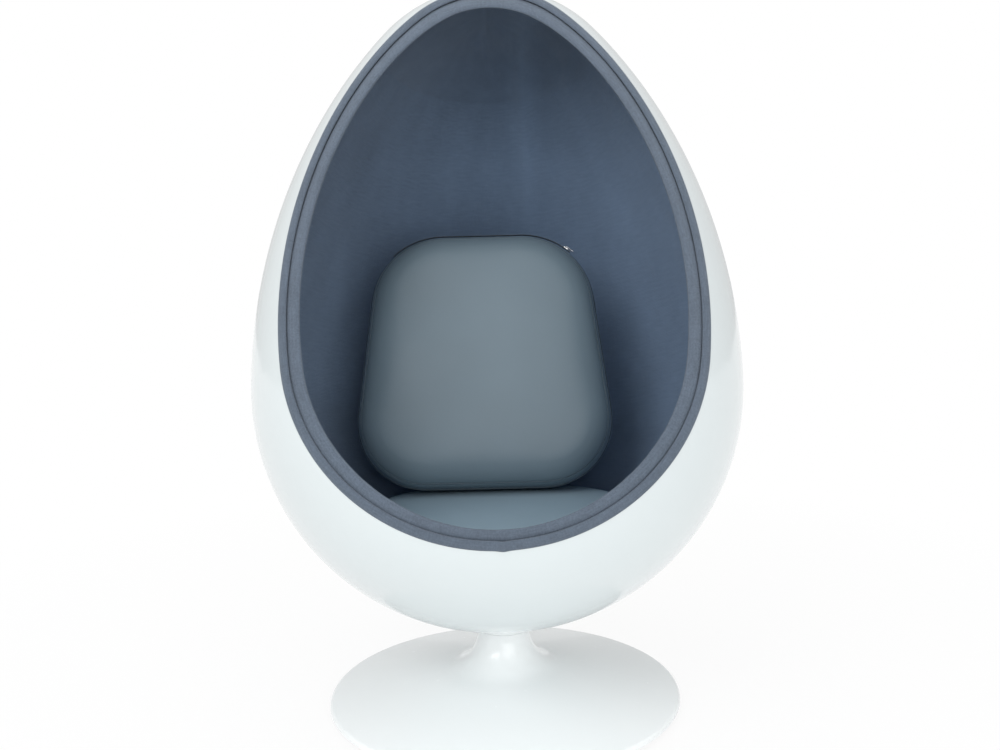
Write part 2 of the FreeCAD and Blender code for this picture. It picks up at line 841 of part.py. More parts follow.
class Cushion:
    """A crowned cushion whose outline lies in its own XZ plane, with its back towards +Y."""

    def __init__(self, name, half_low, half_high, length, round_low, round_high, crown, belly, draw):
        self.name = name
        self.half_low, self.half_high, self.length = half_low, half_high, length
        self.round_low, self.round_high = round_low, round_high
        self.crown, self.belly, self.draw = crown, belly, draw
        self.lean = math.atan2(half_low - half_high, length)
        self.placement = FreeCAD.Placement()

    def corner(self, depth, high):
        """Where two sides meet when each is moved in by a depth."""
        rise = self.length - depth if high else depth
        along, across = math.cos(self.lean), math.sin(self.lean)
        return (self.half_low * along - depth - rise * across) / along, rise

    def outline(self, inset, depth):
        """The outline moved in by an inset, as a wire of four lines and four arcs."""
        least = size("least_round").value
        low = max(self.round_low - inset, least)
        high = max(self.round_high - inset, least)
        down, up = -math.pi / 2, math.pi / 2
        # A corner's centre and radius, and the angles at which its arc starts and stops.
        low_corner = (*self.corner(inset + low, False), low, down, self.lean)
        high_corner = (*self.corner(inset + high, True), high, self.lean, up)

        def arc_spots(corner, side):
            east, north, radius, start, stop = corner
            spots = [V(side * (east + radius * math.cos(angle)), depth, north + radius * math.sin(angle))
                     for angle in (start, (start + stop) / 2, stop)]
            return spots if side > 0 else spots[::-1]

        arcs = [arc_spots(low_corner, 1), arc_spots(high_corner, 1),
                arc_spots(high_corner, -1), arc_spots(low_corner, -1)]
        edges = []
        for number, spots in enumerate(arcs):
            edges.append(Part.makeLine(arcs[number - 1][-1], spots[0]))
            edges.append(Part.Arc(*spots).toShape())
        return Part.Wire(edges)

    def solid(self, skin):
        """The crowned form, moved in by a skin's thickness on every side."""
        sections = []
        for number in range(-CROWN_SECTIONS, CROWN_SECTIONS + 1):
            turn = math.radians(QUARTER_TURN * abs(number) / CROWN_SECTIONS)
            rise = self.crown if number < 0 else self.belly
            depth = (rise - skin) * math.sin(turn) * (1 if number > 0 else -1)
            sections.append(self.outline(skin + self.draw * (1 - math.cos(turn)), depth))
        return Part.makeLoft(sections, True, True)

    def strip(self, reach):
        """A zip's closed chain along the far end of the widest outline."""
        gap = size("part_gap").value
        thickness = size("zip_thickness").value
        half = size("zip_width").value / 2
        outer = Part.Face(self.outline(-gap - thickness, -half))
        inner = Part.Face(self.outline(-gap, -half))
        ring = outer.cut(inner).extrude(V(0, 2 * half, 0))
        box = Part.makeBox(2 * reach, 2 * REACH, REACH, V(-reach, -REACH, self.length / 2))
        return ring.common(box)


def cushions():
    seat = Cushion("seat", size("seat_half_front").value, size("seat_half_back").value,
                   size("seat_length").value, size("seat_round").value, size("seat_round").value,
                   size("seat_crown").value, size("seat_belly").value, size("seat_draw").value)
    # The seat lies down: its outline's length runs to the back and its crown faces up.
    seat.placement = FreeCAD.Placement(V(0, -size("seat_front").value, seat_middle.value),
                                       FreeCAD.Rotation(V(1, 0, 0), -QUARTER_TURN))
    back = Cushion("back", size("back_half_low").value, size("back_half_high").value,
                   size("back_length").value, size("back_round_low").value, size("back_round_high").value,
                   size("back_crown").value, size("back_belly").value, size("back_draw").value)
    # The back cushion leans back and stands a little to one side.
    spot = V(-size("back_shift").value, size("back_place").value, back_low.value)
    back.placement = FreeCAD.Placement(spot, FreeCAD.Rotation(V(1, 0, 0), -size("back_lean").value))
    return seat, back


def shape_piece(label, shape, placement):
    piece = doc.addObject("Part::Feature", f"Shape_{label}")
    piece.Shape = shape
    piece.Placement = placement
    return keep(piece, label)


def cushion_pieces(cushion):
    """The sewn cover and the foam core inside it."""
    wall = size("cover_wall").value
    cover = cushion.solid(0.0).cut(cushion.solid(wall))
    shape_piece(f"{cushion.name}_cushion_cover", cover, cushion.placement)
    core = cushion.solid(wall + size("part_gap").value)
    shape_piece(f"{cushion.name}_cushion_core", core, cushion.placement)


def zip_pieces(cushion):
    """The zip's chain along the cushion's far end, and its slider with the pull at one side."""
    reach = size(f"{cushion.name}_zip_reach").value
    shape_piece(f"{cushion.name}_zip_chain", cushion.strip(reach), cushion.placement)
    length, width, height = (size(f"slider_{name}").value for name in ("length", "width", "height"))
    pull_length, pull_width, pull_height = (size(f"pull_{name}").value
                                            for name in ("length", "width", "thickness"))
    slider = Part.makeBox(length, width, height, V(-length / 2, -width / 2, 0))
    corner = V(-size("pull_overlap").value, -pull_width / 2, height)
    pull = Part.makeBox(pull_length, pull_width, pull_height, corner)
    radius = cushion.round_high
    east, north = cushion.corner(radius, True)
    angle = math.acos((reach - east - length) / radius)
    out = radius + 2 * size("part_gap").value + size("zip_thickness").value
    spot = V(east + out * math.cos(angle), 0, north + out * math.sin(angle))
    turn = FreeCAD.Rotation(V(0, 1, 0), QUARTER_TURN - math.degrees(angle))
    place = cushion.placement.multiply(FreeCAD.Placement(spot, turn))
    shape_piece(f"{cushion.name}_zip_slider", slider.fuse(pull).removeSplitter(), place)


def back_support(back):
    """The foam wedge bonded to the lining behind the back cushion."""
    half = size("support_half").value
    low, high = size("support_low").value, size("support_high").value
    front = back.belly + size("part_gap").value
    slab = Part.makeBox(2 * half, REACH, high - low, V(size("back_shift").value - half, front, low))
    long_edges = [edge for edge in slab.Edges if edge.BoundBox.YLength > REACH / 2]
    slab = slab.makeFillet(size("support_round").value, long_edges)
    slab.Placement = back.placement
    space = egg_body("support_space", lining_depth + size("part_gap"))
    doc.recompute()
    shape_piece("back_support", slab.common(space.Shape), FreeCAD.Placement())


bolt_hole = size("bolt_radius") + size("hole_gap")

pedestal()
base_plate()
glide_ring()
ballast()
column()
screws()
neck_spacer()
bushes()
race("lower_race", bush_top, low_race_top, True)
race("upper_race", high_race_low, flange_low, False)
balls_and_cage()
spindle()
clip_and_washer()
swivel_flange()
saddle_pad()
swivel_collar()
outer_shell()
inner_pad()
mounting_plate()
mounting_bolts()
lining("lining_foam", foam_depth, cloth_depth)
lining("lining_cloth", cloth_depth, lining_depth)
rim_band()
rim_roll()
seat_foam()
seat_board()
seat_cushion, back_cushion = cushions()
for each in (seat_cushion, back_cushion):
    cushion_pieces(each)
    zip_pieces(each)
back_support(back_cushion)
doc.recompute()

os.makedirs("parts", exist_ok=True)
for item in doc.Objects:
    if {"Invalid", "Error"} & set(item.State):
        raise RuntimeError(f"{item.Label} did not build: {item.State}")
for item in pieces:
    if item.Shape.isNull() or not item.Shape.isValid():
        raise RuntimeError(f"{item.Label} has no valid shape")
for item in pieces:
    item.Shape.exportStep(f"parts/{item.Label}.step")
    box = item.Shape.BoundBox
    spans = ((box.XMin, box.XMax), (box.YMin, box.YMax), (box.ZMin, box.ZMax))
    print(f"{item.Label:22} {len(item.Shape.Solids):3} solids {item.Shape.Volume / 1000:10.1f} cm3",
          *(f"{low:8.1f} {high:8.1f}" for low, high in spans))
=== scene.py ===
"""Dresses the pod chair: shell, pedestal, lining, rim, cushions, zips, floor and lights."""

import math

import bmesh
import bpy
import numpy as np
from bpy.props import FloatProperty, FloatVectorProperty, PointerProperty
from mathutils import Matrix, Vector, noise
from mathutils.bvhtree import BVHTree


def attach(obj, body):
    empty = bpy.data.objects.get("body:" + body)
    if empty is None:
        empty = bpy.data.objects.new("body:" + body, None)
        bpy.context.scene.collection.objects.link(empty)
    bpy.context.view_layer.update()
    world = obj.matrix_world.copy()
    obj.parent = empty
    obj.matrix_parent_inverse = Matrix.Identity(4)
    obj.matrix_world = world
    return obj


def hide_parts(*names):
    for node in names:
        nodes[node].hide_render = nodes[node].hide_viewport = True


bl_info = {
    "name": "Pod chair",
    "version": (1, 0, 0),
    "blender": (4, 5, 0),
    "location": "3D View > Sidebar > Pod chair",
    "description": "Builds the cloth, leather and gloss finishes of an egg-shaped swivel chair",
    "category": "Object",
}

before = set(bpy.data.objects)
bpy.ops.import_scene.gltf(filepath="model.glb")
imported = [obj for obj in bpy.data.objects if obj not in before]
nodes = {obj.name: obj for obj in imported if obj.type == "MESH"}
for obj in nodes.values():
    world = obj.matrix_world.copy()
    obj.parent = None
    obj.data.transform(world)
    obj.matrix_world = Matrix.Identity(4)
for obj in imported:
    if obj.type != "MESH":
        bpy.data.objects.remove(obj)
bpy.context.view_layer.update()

# The egg's inner form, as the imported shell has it: a half sphere, a long side arc and a cap,
# turned about an axis that leans back. Lengths are in metres.
EGG_RADIUS = 0.425
SIDE_RADIUS = 0.997
CAP_RADIUS = 0.268
EGG_TILT = math.radians(16.0)
OPENING_TILT = math.radians(25.2)
OPENING_DISTANCE = 0.273
EGG_CENTRE = Vector((0.0, 0.0, 0.5756))
SIDE_CENTRE = EGG_RADIUS - SIDE_RADIUS
CAP_CENTRE = math.sqrt((SIDE_RADIUS - CAP_RADIUS) ** 2 - SIDE_CENTRE**2)
MEET_ANGLE = math.atan2(CAP_CENTRE, -SIDE_CENTRE)
EGG_AXIS = Vector((0.0, math.sin(EGG_TILT), math.cos(EGG_TILT)))
EGG_REAR = Vector((0.0, math.cos(EGG_TILT), -math.sin(EGG_TILT)))
OPENING_NORMAL = Vector((0.0, -math.cos(OPENING_TILT), math.sin(OPENING_TILT)))
OPENING_UP = Vector((0.0, math.sin(OPENING_TILT), math.cos(OPENING_TILT)))
RIGHT = Vector((1.0, 0.0, 0.0))

# Cushion outlines: half widths, length, corner rounds, crowns and how far each face draws in.
SEAT_FORM = dict(half_low=0.262, half_high=0.258, length=0.450, round_low=0.178, round_high=0.178,
                 crown=0.045, belly=0.040, draw=0.110, front_draw=0.052)
BACK_FORM = dict(half_low=0.256, half_high=0.199, length=0.487, round_low=0.130, round_high=0.140,
                 crown=0.065, belly=0.090, draw=0.130, front_draw=0.062)
SEAT_PLACE = Matrix.Translation((0.0, -0.270, 0.3253)) @ Matrix.Rotation(math.radians(-90.0), 4, "X")
BACK_PLACE = Matrix.Translation((-0.026, 0.058, 0.3748)) @ Matrix.Rotation(math.radians(-18.0), 4, "X")
SMALLEST_ROUND = 0.024
LEATHER_INSET = 0.003
# Points of an outline, of a ring, of a corner and of the rounded edge, and frames of the simulation.
OUTLINE_COUNT = 240
CUSHION_SPOKES = 160
CORNER_STEPS = 40
EDGE_STEPS = 12
CLOTH_FRAMES = 20
# How far before the welt the front panel's own seam runs, and how wide and deep it draws the leather in.
PANEL_SEAM = -0.026
PANEL_SEAM_WIDTH = 0.0022
PANEL_SEAM_SINK = 0.0014

# The lining: its depth, where it is cut behind the opening, its net, its length once round and its cloth.
LINING_DEPTH = 0.0237
LINING_CUT = 0.024
LINING_ROWS, LINING_SPOKES = 96, 240
LINING_LENGTH = 2.3
LINING_THICKNESS = 0.0012
# Where its soft upright fold and its seam run, to the right of the middle, and how far it may sink.
FOLD_PLACE = 0.062
SEAM_PLACE = -0.010
DEEPEST_FOLD = -0.0009

# The opening's edge: points round it, how often the gap to each is halved, and lengths once round of the
# binding, the roll's cloth and the edge.
RIM_SPOKES = 720
RIM_HALVINGS = 34
BINDING_LENGTH = 2.02
ROLL_LENGTH = 1.98
EDGE_LENGTH = 2.0
# The binding's section as depth and reach: up the outside of the shell, over its edge with a soft bulge
# and down beside the roll. The face that shows is its first points; the others close it from within.
BINDING_SECTION = [
    (-0.0008, -0.0040), (-0.0012, -0.0028), (-0.0012, -0.0005), (-0.0008, 0.0012), (0.0006, 0.0024),
    (0.0024, 0.0030), (0.0042, 0.0029), (0.0058, 0.0023), (0.0069, 0.0011), (0.0074, -0.0006),
    (0.0074, -0.0040), (0.0062, -0.0040), (0.0061, 0.0004), (-0.0003, 0.0004), (-0.0003, -0.0040)]
BINDING_FACE = 10
# The roll's section: depth and reach of its middle, half of each size, the power of its outline, its points.
ROLL_SECTION = (0.0163, -0.0098, 0.0084, 0.0170, 2.05, 28)
SEAM_SPOT = (0.0078, -0.0018)
SEAM_RADIUS = 0.0010

# The zips: points of the outline they follow, how far out, the tape's half width and thickness, and teeth.
ZIP_STEPS = 720
ZIP_INSET = -0.0014
TAPE_HALF_WIDTH = 0.0034
TAPE_THICKNESS = 0.0005
TOOTH_SIZE = (0.0013, 0.0030, 0.0010)
TOOTH_PITCH = 0.0026
TOOTH_SHIFT = 0.0006
SLIDER_SIZE = (0.0095, 0.0070, 0.0026)
SLIDER_PLACE = (0.0, 0.0, 0.0016)
PULL_SIZE = (0.0160, 0.0046, 0.0011)
PULL_PLACE = (0.0070, 0.0, 0.0040)

# Lights: name, place, what it looks at, edge of its square, power.
LIGHTS = (("key", (-2.0, -3.0, 2.9), (0.0, 0.0, 0.7), 2.2, 60.0),
          ("fill", (1.3, -3.6, 1.0), (0.0, 0.0, 0.6), 3.0, 56.0),
          ("top", (0.0, -0.6, 3.6), (0.0, 0.0, 0.6), 2.6, 22.0))
CAMERA_PLACE = (0.02169, -1.88557, 0.84646)
CAMERA_TURNS = (-0.00875, 0.13204, -0.02517)
CAMERA_LENS = 38.768


def clamped(value):
    return max(0.0, min(1.0, value))


def bell(offset, width):
    """1 where there is no offset, and falling off smoothly over the width."""
    return np.exp(-((offset / width) ** 2))


# Egg geometry

def wall_point(normal_angle, turn, depth):
    """A point at a depth under the egg's outer face, where its normal has that angle and turn."""
    if normal_angle < 0.0:
        radius = EGG_RADIUS - depth
        out, along = radius * math.cos(normal_angle), radius * math.sin(normal_angle)
    elif normal_angle < MEET_ANGLE:
        radius = SIDE_RADIUS - depth
        out, along = SIDE_CENTRE + radius * math.cos(normal_angle), radius * math.sin(normal_angle)
    else:
        radius = CAP_RADIUS - depth
        out, along = radius * math.cos(normal_angle), CAP_CENTRE + radius * math.sin(normal_angle)
    return EGG_CENTRE + RIGHT * out * math.sin(turn) + EGG_REAR * out * math.cos(turn) + EGG_AXIS * along


def egg_depth(point):
    """How deep a point lies under the egg's outer face."""
    away = point - EGG_CENTRE
    along = away.dot(EGG_AXIS)
    out = (away - EGG_AXIS * along).length
    if along < 0.0:
        return EGG_RADIUS - math.hypot(out, along)
    if math.atan2(along, out - SIDE_CENTRE) < MEET_ANGLE:
        return SIDE_RADIUS - math.hypot(out - SIDE_CENTRE, along)
    return CAP_RADIUS - math.hypot(out, along - CAP_CENTRE)


def rim_point(turn, depth, reach):
    """Where the wall at a depth meets the plane at a reach beyond the opening, in one direction."""
    middle = EGG_CENTRE + OPENING_NORMAL * (OPENING_DISTANCE + reach)
    direction = RIGHT * math.sin(turn) + OPENING_UP * math.cos(turn)
    near, far = 0.1, 0.9
    for _ in range(RIM_HALVINGS):
        half = (near + far) / 2
        if egg_depth(middle + direction * half) > depth:
            near = half
        else:
            far = half
    return middle + direction * near


# Mesh tools

def deselect():
    if bpy.context.object and bpy.context.object.mode != "OBJECT":
        bpy.ops.object.mode_set(mode="OBJECT")
    bpy.ops.object.select_all(action="DESELECT")


def select_only(piece):
    deselect()
    piece.select_set(True)
    bpy.context.view_layer.objects.active = piece


def fresh(name):
    """Names the primitive that was just added."""
    piece = bpy.context.object
    piece.name = name
    piece.data.name = name
    return piece


def points_of(piece):
    places = np.empty(len(piece.data.vertices) * 3)
    piece.data.vertices.foreach_get("co", places)
    return places.reshape(-1, 3)


def set_points(piece, places):
    piece.data.vertices.foreach_set("co", np.asarray(places, float).ravel())
    piece.data.update()


def apply_modifier(piece, kind, **settings):
    select_only(piece)
    modifier = piece.modifiers.new(kind.title(), kind)
    for name, value in settings.items():
        setattr(modifier, name, value)
    bpy.ops.object.modifier_apply(modifier=modifier.name)


def smooth(piece, angle=math.radians(40.0)):
    select_only(piece)
    bpy.ops.object.shade_smooth_by_angle(angle=angle)


def edit_all(kind="VERT"):
    """Opens the active piece in edit mode with all of it selected."""
    bpy.ops.object.mode_set(mode="EDIT")
    bpy.ops.mesh.select_mode(type=kind)
    bpy.ops.mesh.select_all(action="SELECT")


def ring_surface(name, rings, closed=False, cloth_size=None):
    """A tube extruded ring by ring, then shaped: ring k follows rings[k], and is bridged round if closed.

    cloth_size is the length once round and the length along, and gives a UV map in metres."""
    rings = np.asarray(rings, float)
    rows, count = rings.shape[:2]
    deselect()
    bpy.ops.mesh.primitive_circle_add(vertices=count, radius=1.0)
    piece = fresh(name)
    edit_all()
    for _ in range(rows - 1):
        bpy.ops.mesh.extrude_region_move(TRANSFORM_OT_translate={"value": (0.0, 0.0, 1.0)})
    if closed:
        bpy.ops.mesh.select_mode(type="EDGE")
        bpy.ops.mesh.select_all(action="DESELECT")
        form = bmesh.from_edit_mesh(piece.data)
        for edge in form.edges:
            heights = [corner.co.z for corner in edge.verts]
            edge.select_set(max(heights) < 0.5 or min(heights) > rows - 1.5)
        bmesh.update_edit_mesh(piece.data)
        bpy.ops.mesh.bridge_edge_loops()
    bpy.ops.object.mode_set(mode="OBJECT")
    tube = points_of(piece)
    row = np.rint(tube[:, 2]).astype(int)
    spoke = np.rint(np.arctan2(tube[:, 1], tube[:, 0]) / (2 * math.pi / count)).astype(int) % count
    set_points(piece, rings[row, spoke])
    if cloth_size is not None:
        write_cloth_map(piece, row, spoke, rows if closed else rows - 1, count, cloth_size)
    return piece


def wrapped(index, count):
    """Indices at the corners of four-sided faces, counted on where a face crosses the closing line."""
    index = index.reshape(-1, 4)
    past = (np.ptp(index, axis=1) > count / 2)[:, None] & (index < count / 2)
    return np.where(past, index + count, index)


def write_cloth_map(piece, row, spoke, rows, count, cloth_size):
    """A UV map in metres, once round by the spokes and along by the rows."""
    mesh = piece.data
    corners = np.empty(len(mesh.loops), int)
    mesh.loops.foreach_get("vertex_index", corners)
    across = wrapped(spoke[corners], count)
    along = wrapped(row[corners], rows)
    layer = mesh.uv_layers.new(name="Cloth")
    spread = np.stack([across * cloth_size[0] / count, along * cloth_size[1] / rows], axis=-1)
    layer.data.foreach_set("uv", spread.reshape(-1))


def close_poles(piece):
    """Welds what lies together and turns every face outwards."""
    select_only(piece)
    edit_all()
    bpy.ops.mesh.remove_doubles(threshold=1e-5)
    bpy.ops.mesh.normals_make_consistent(inside=False)
    bpy.ops.object.mode_set(mode="OBJECT")


def new_cube(name):
    deselect()
    bpy.ops.mesh.primitive_cube_add(size=1.0)
    return fresh(name)


def copy_of(piece):
    copy = piece.copy()
    copy.data = piece.data.copy()
    bpy.context.scene.collection.objects.link(copy)
    return copy


def join_all(pieces, name):
    """Joins the pieces into one, which takes the name."""
    deselect()
    for piece in pieces:
        piece.select_set(True)
    bpy.context.view_layer.objects.active = pieces[0]
    if len(pieces) > 1:
        bpy.ops.object.join()
    return fresh(name)


def loop_length(points):
    return float(np.linalg.norm(np.roll(points, -1, axis=0) - points, axis=1).sum())


def tube_along(name, path, radius, sides, upright):
    """A closed cord of round section along a closed path."""
    path = np.asarray(path, float)
    ahead = np.roll(path, -1, axis=0) - np.roll(path, 1, axis=0)
    ahead /= np.linalg.norm(ahead, axis=1)[:, None]
    upright = np.broadcast_to(np.asarray(upright, float), path.shape)
    side = np.cross(ahead, upright)
    side /= np.linalg.norm(side, axis=1)[:, None]
    upright = np.cross(side, ahead)
    turns = [2 * math.pi * number / sides for number in range(sides)]
    rings = [path + radius * (side * math.cos(turn) + upright * math.sin(turn)) for turn in turns]
    piece = ring_surface(name, rings, closed=True, cloth_size=(loop_length(path), 2 * math.pi * radius))
    close_poles(piece)
    smooth(piece)
    return piece


def paint(piece, material):
    piece.data.materials.clear()
    piece.data.materials.append(material)


def finish_piece(piece, body, slot, material, *stands_for):
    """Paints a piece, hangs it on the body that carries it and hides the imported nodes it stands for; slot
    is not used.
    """
    paint(piece, material)
    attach(piece, body)
    if stands_for:
        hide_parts(*stands_for)


# Shader groups

class Net:
    """Short ways to add nodes to a tree and join them."""

    def __init__(self, tree):
        self.tree = tree

    def node(self, kind, **settings):
        node = self.tree.nodes.new(f"ShaderNode{kind}")
        for name, value in settings.items():
            setattr(node, name, value)
        return node

    def feed(self, socket, value):
        if hasattr(value, "is_linked"):
            self.tree.links.new(value, socket)
        else:
            socket.default_value = value

    def fill(self, node, **values):
        """Feeds a node's inputs by their names, with _ for a space."""
        for name, value in values.items():
            self.feed(node.inputs[name.replace("_", " ")], value)

    def maths(self, operation, *values, clamp=False):
        node = self.node("Math", operation=operation, use_clamp=clamp)
        for socket, value in zip(node.inputs, values):
            self.feed(socket, value)
        return node.outputs[0]

    def add(self, first, second):
        return self.maths("ADD", first, second)

    def less(self, first, second):
        return self.maths("SUBTRACT", first, second)

    def times(self, first, second):
        return self.maths("MULTIPLY", first, second)

    def weighted(self, first, weight, second, other_weight):
        """The sum of two values, each times its weight."""
        return self.add(self.times(first, weight), self.times(second, other_weight))

    def noise(self, vector, scale, detail=3.0, roughness=0.5):
        node = self.node("TexNoise")
        self.fill(node, Vector=vector, Scale=scale, Detail=detail, Roughness=roughness)
        return node.outputs["Fac"]

    def voronoi(self, vector, scale, feature="DISTANCE_TO_EDGE"):
        node = self.node("TexVoronoi", feature=feature)
        self.fill(node, Vector=vector, Scale=scale)
        return node.outputs["Distance"]

    def stretched(self, vector, factors):
        node = self.node("VectorMath", operation="MULTIPLY")
        self.feed(node.inputs[0], vector)
        self.feed(node.inputs[1], factors)
        return node.outputs[0]

    def split(self, vector):
        node = self.node("SeparateXYZ")
        self.feed(node.inputs[0], vector)
        return node.outputs

    def ranged(self, value, low, high, to_low=0.0, to_high=1.0):
        node = self.node("MapRange")
        for socket, number in zip(node.inputs, (value, low, high, to_low, to_high)):
            self.feed(socket, number)
        return node.outputs[0]

    def mixed(self, factor, first, second):
        node = self.node("Mix", data_type="RGBA")
        self.fill(node, Factor=factor, A=first, B=second)
        return node.outputs["Result"]


class Group(Net):
    """A shader group under way: a vector and numbers go in, numbers come out."""

    def __init__(self, name, outputs, **inputs):
        super().__init__(bpy.data.node_groups.new(name, "ShaderNodeTree"))
        face = self.tree.interface
        face.new_socket("Vector", in_out="INPUT", socket_type="NodeSocketVector")
        for label, value in inputs.items():
            face.new_socket(label, in_out="INPUT", socket_type="NodeSocketFloat").default_value = value
        for label in outputs:
            face.new_socket(label, in_out="OUTPUT", socket_type="NodeSocketFloat")
        self.given = self.tree.nodes.new("NodeGroupInput").outputs
        self.results = self.tree.nodes.new("NodeGroupOutput")
        self.vector = self.given["Vector"]

    def done(self, **values):
        self.fill(self.results, **values)
        return self.tree


def weave_group():
    """Plain weave of crossing threads, with slubs that run along the rows. Pitch is threads per metre."""
    net = Group("Plain weave", ("Height", "Tone"), Pitch=700.0, Slub=0.5)
    split = net.split(net.vector)
    waver = net.ranged(net.noise(net.vector, 90.0, 2.0), 0.0, 1.0, -1.2, 1.2)
    step = net.times(net.given["Pitch"], math.pi)
    across = net.add(net.times(split["X"], step), waver)
    along = net.add(net.times(split["Y"], step), waver)
    warp = net.maths("ABSOLUTE", net.maths("SINE", across))
    weft = net.maths("ABSOLUTE", net.maths("SINE", along))
    crossing = net.times(net.maths("COSINE", across), net.maths("COSINE", along))
    over = net.maths("GREATER_THAN", crossing, 0.0)
    thread = net.add(net.times(over, warp), net.times(net.less(1.0, over), weft))
    rows = net.noise(net.stretched(net.vector, (35.0, 420.0, 420.0)), 1.0, 2.0)
    columns = net.noise(net.stretched(net.vector, (520.0, 50.0, 50.0)), 1.0, 2.0)
    slub = net.times(net.less(net.weighted(rows, 0.65, columns, 0.35), 0.5), net.given["Slub"])
    mottle = net.less(net.noise(net.vector, 14.0), 0.5)
    tone = net.add(net.add(net.times(thread, 0.22), 0.40), net.weighted(slub, 0.9, mottle, 0.30))
    return net.done(Height=net.add(net.times(thread, 0.6), slub),
                    Tone=net.maths("MAXIMUM", net.maths("MINIMUM", tone, 1.0), 0.0))


def hide_group():
    """Smooth leather: fine pebbles, soft creases and a slow change of tone."""
    net = Group("Smooth hide", ("Height", "Tone", "Worn"), Pebbles=900.0, Creases=0.4)
    pebble = net.ranged(net.voronoi(net.vector, net.given["Pebbles"]), 0.0, 0.35)
    crease = net.ranged(net.voronoi(net.stretched(net.vector, (1.0, 1.0, 1.6)), 150.0), 0.0, 0.08, -1.0, 0.0)
    crease = net.times(crease, net.given["Creases"])
    crease = net.times(crease, net.ranged(net.noise(net.vector, 9.0), 0.45, 0.7))
    height = net.add(net.times(pebble, 0.35), crease)
    return net.done(Height=net.add(height, net.times(net.noise(net.vector, 2200.0, 1.0), 0.2)),
                    Tone=net.weighted(net.noise(net.vector, 5.0, 2.0), 0.7, pebble, 0.2),
                    Worn=net.ranged(net.noise(net.vector, 11.0, 4.0), 0.35, 0.75))


def coat_group():
    """A sprayed gloss coat: orange peel, faint clouds and scuffs that run upright."""
    net = Group("Sprayed gloss", ("Height", "Tone", "Scuff"), Peel=90.0)
    peel = net.noise(net.vector, net.given["Peel"], 1.0)
    marks = net.noise(net.stretched(net.vector, (60.0, 60.0, 400.0)), 1.0, 4.0, 0.7)
    return net.done(Height=net.weighted(peel, 0.3, net.noise(net.vector, 6.0, 1.0), 0.7),
                    Tone=net.noise(net.vector, 3.0, 2.0),
                    Scuff=net.ranged(marks, 0.62, 0.82))


def metal_group():
    """Turned or plated metal: fine rings round the upright axis and a cloudy tone."""
    net = Group("Turned metal", ("Height", "Tone"), Grain=1.0)
    lines = net.noise(net.stretched(net.vector, (12.0, 12.0, 2500.0)), net.given["Grain"])
    return net.done(Height=lines, Tone=net.weighted(lines, 0.4, net.noise(net.vector, 40.0), 0.6))


def cell_group():
    """Foam, rubber, cast metal and laminate: open cells or grit over a slow change of tone."""
    net = Group("Cells and grit", ("Height", "Tone"), Size=600.0)
    cells = net.voronoi(net.vector, net.given["Size"], "F1")
    grit = net.noise(net.vector, 300.0, 5.0, 0.7)
    return net.done(Height=net.weighted(cells, 0.6, grit, 0.4),
                    Tone=net.weighted(net.noise(net.vector, 12.0), 0.6, cells, 0.4))


def wood_group():
    """Plywood: long grain on the faces and plies across the edge."""
    net = Group("Ply grain", ("Height", "Tone"))
    grain = net.noise(net.stretched(net.vector, (8.0, 160.0, 900.0)), 1.0, 4.0)
    return net.done(Height=grain, Tone=grain)


# Finishes

def shade(colour, factor):
    return tuple(min(1.0, part * factor) for part in colour)


class Finish(Net):
    """A material under way: its Principled shader, its places on the piece and its colour."""

    def __init__(self, name, colour):
        self.material = bpy.data.materials.new(name)
        self.material.use_nodes = True
        super().__init__(self.material.node_tree)
        self.shader = self.tree.nodes["Principled BSDF"]
        self.places = self.node("TexCoord").outputs["Object"]
        self.colour = colour

    def effect(self, group, vector, **values):
        node = self.node("Group", node_tree=group)
        self.fill(node, Vector=vector, **values)
        return node.outputs

    def tones(self, tone, dark, light):
        """Colours the surface from a darker to a lighter shade of its colour."""
        ends = [(*shade(self.colour, factor), 1.0) for factor in (dark, light)]
        self.fill(self.shader, Base_Color=self.mixed(tone, *ends))

    def rough(self, mask, low, high):
        self.fill(self.shader, Roughness=self.ranged(mask, 0.0, 1.0, low, high))

    def bump(self, height, distance, strength):
        node = self.node("Bump")
        self.fill(node, Strength=strength, Distance=distance, Height=height)
        self.fill(self.shader, Normal=node.outputs["Normal"])


def surface(group, name, colour, tones, rough, bump, mask="Tone", given=None, **fixed):
    """A finish out of one group: its tones, its roughness by the mask, its bump and the fixed inputs."""
    finish = Finish(name, colour)
    made = finish.effect(group, finish.places, **(given or {}))
    finish.tones(made["Tone"], *tones)
    finish.rough(made[mask], *rough)
    finish.bump(made["Height"], *bump)
    finish.fill(finish.shader, **fixed)
    return finish.material


def gloss_coat(effects, name, colour, roughness):
    return surface(effects["coat"], name, colour, (0.985, 1.012), (roughness, roughness + 0.12),
                   (0.0006, 0.35), mask="Scuff", IOR=1.5, Coat_Weight=0.35, Coat_Roughness=0.06)


def smooth_leather(effects, name, colour):
    return surface(effects["hide"], name, colour, (0.84, 1.16), (0.46, 0.36), (0.0003, 0.5),
                   mask="Worn", IOR=1.45, Coat_Weight=0.08, Coat_Roughness=0.35)


def bare_metal(effects, name, colour, roughness):
    return surface(effects["metal"], name, colour, (0.8, 1.15), (roughness - 0.06, roughness + 0.12),
                   (0.0001, 0.3), Metallic=1.0)


def gritty(effects, name, colour, size, roughness, distance=0.0003):
    return surface(effects["cells"], name, colour, (0.75, 1.2),
                   (roughness - 0.05, min(1.0, roughness + 0.08)), (distance, 0.6), given=dict(Size=size))


def ply(effects, name, colour):
    return surface(effects["wood"], name, colour, (0.7, 1.25), (0.55, 0.7), (0.0003, 0.4))


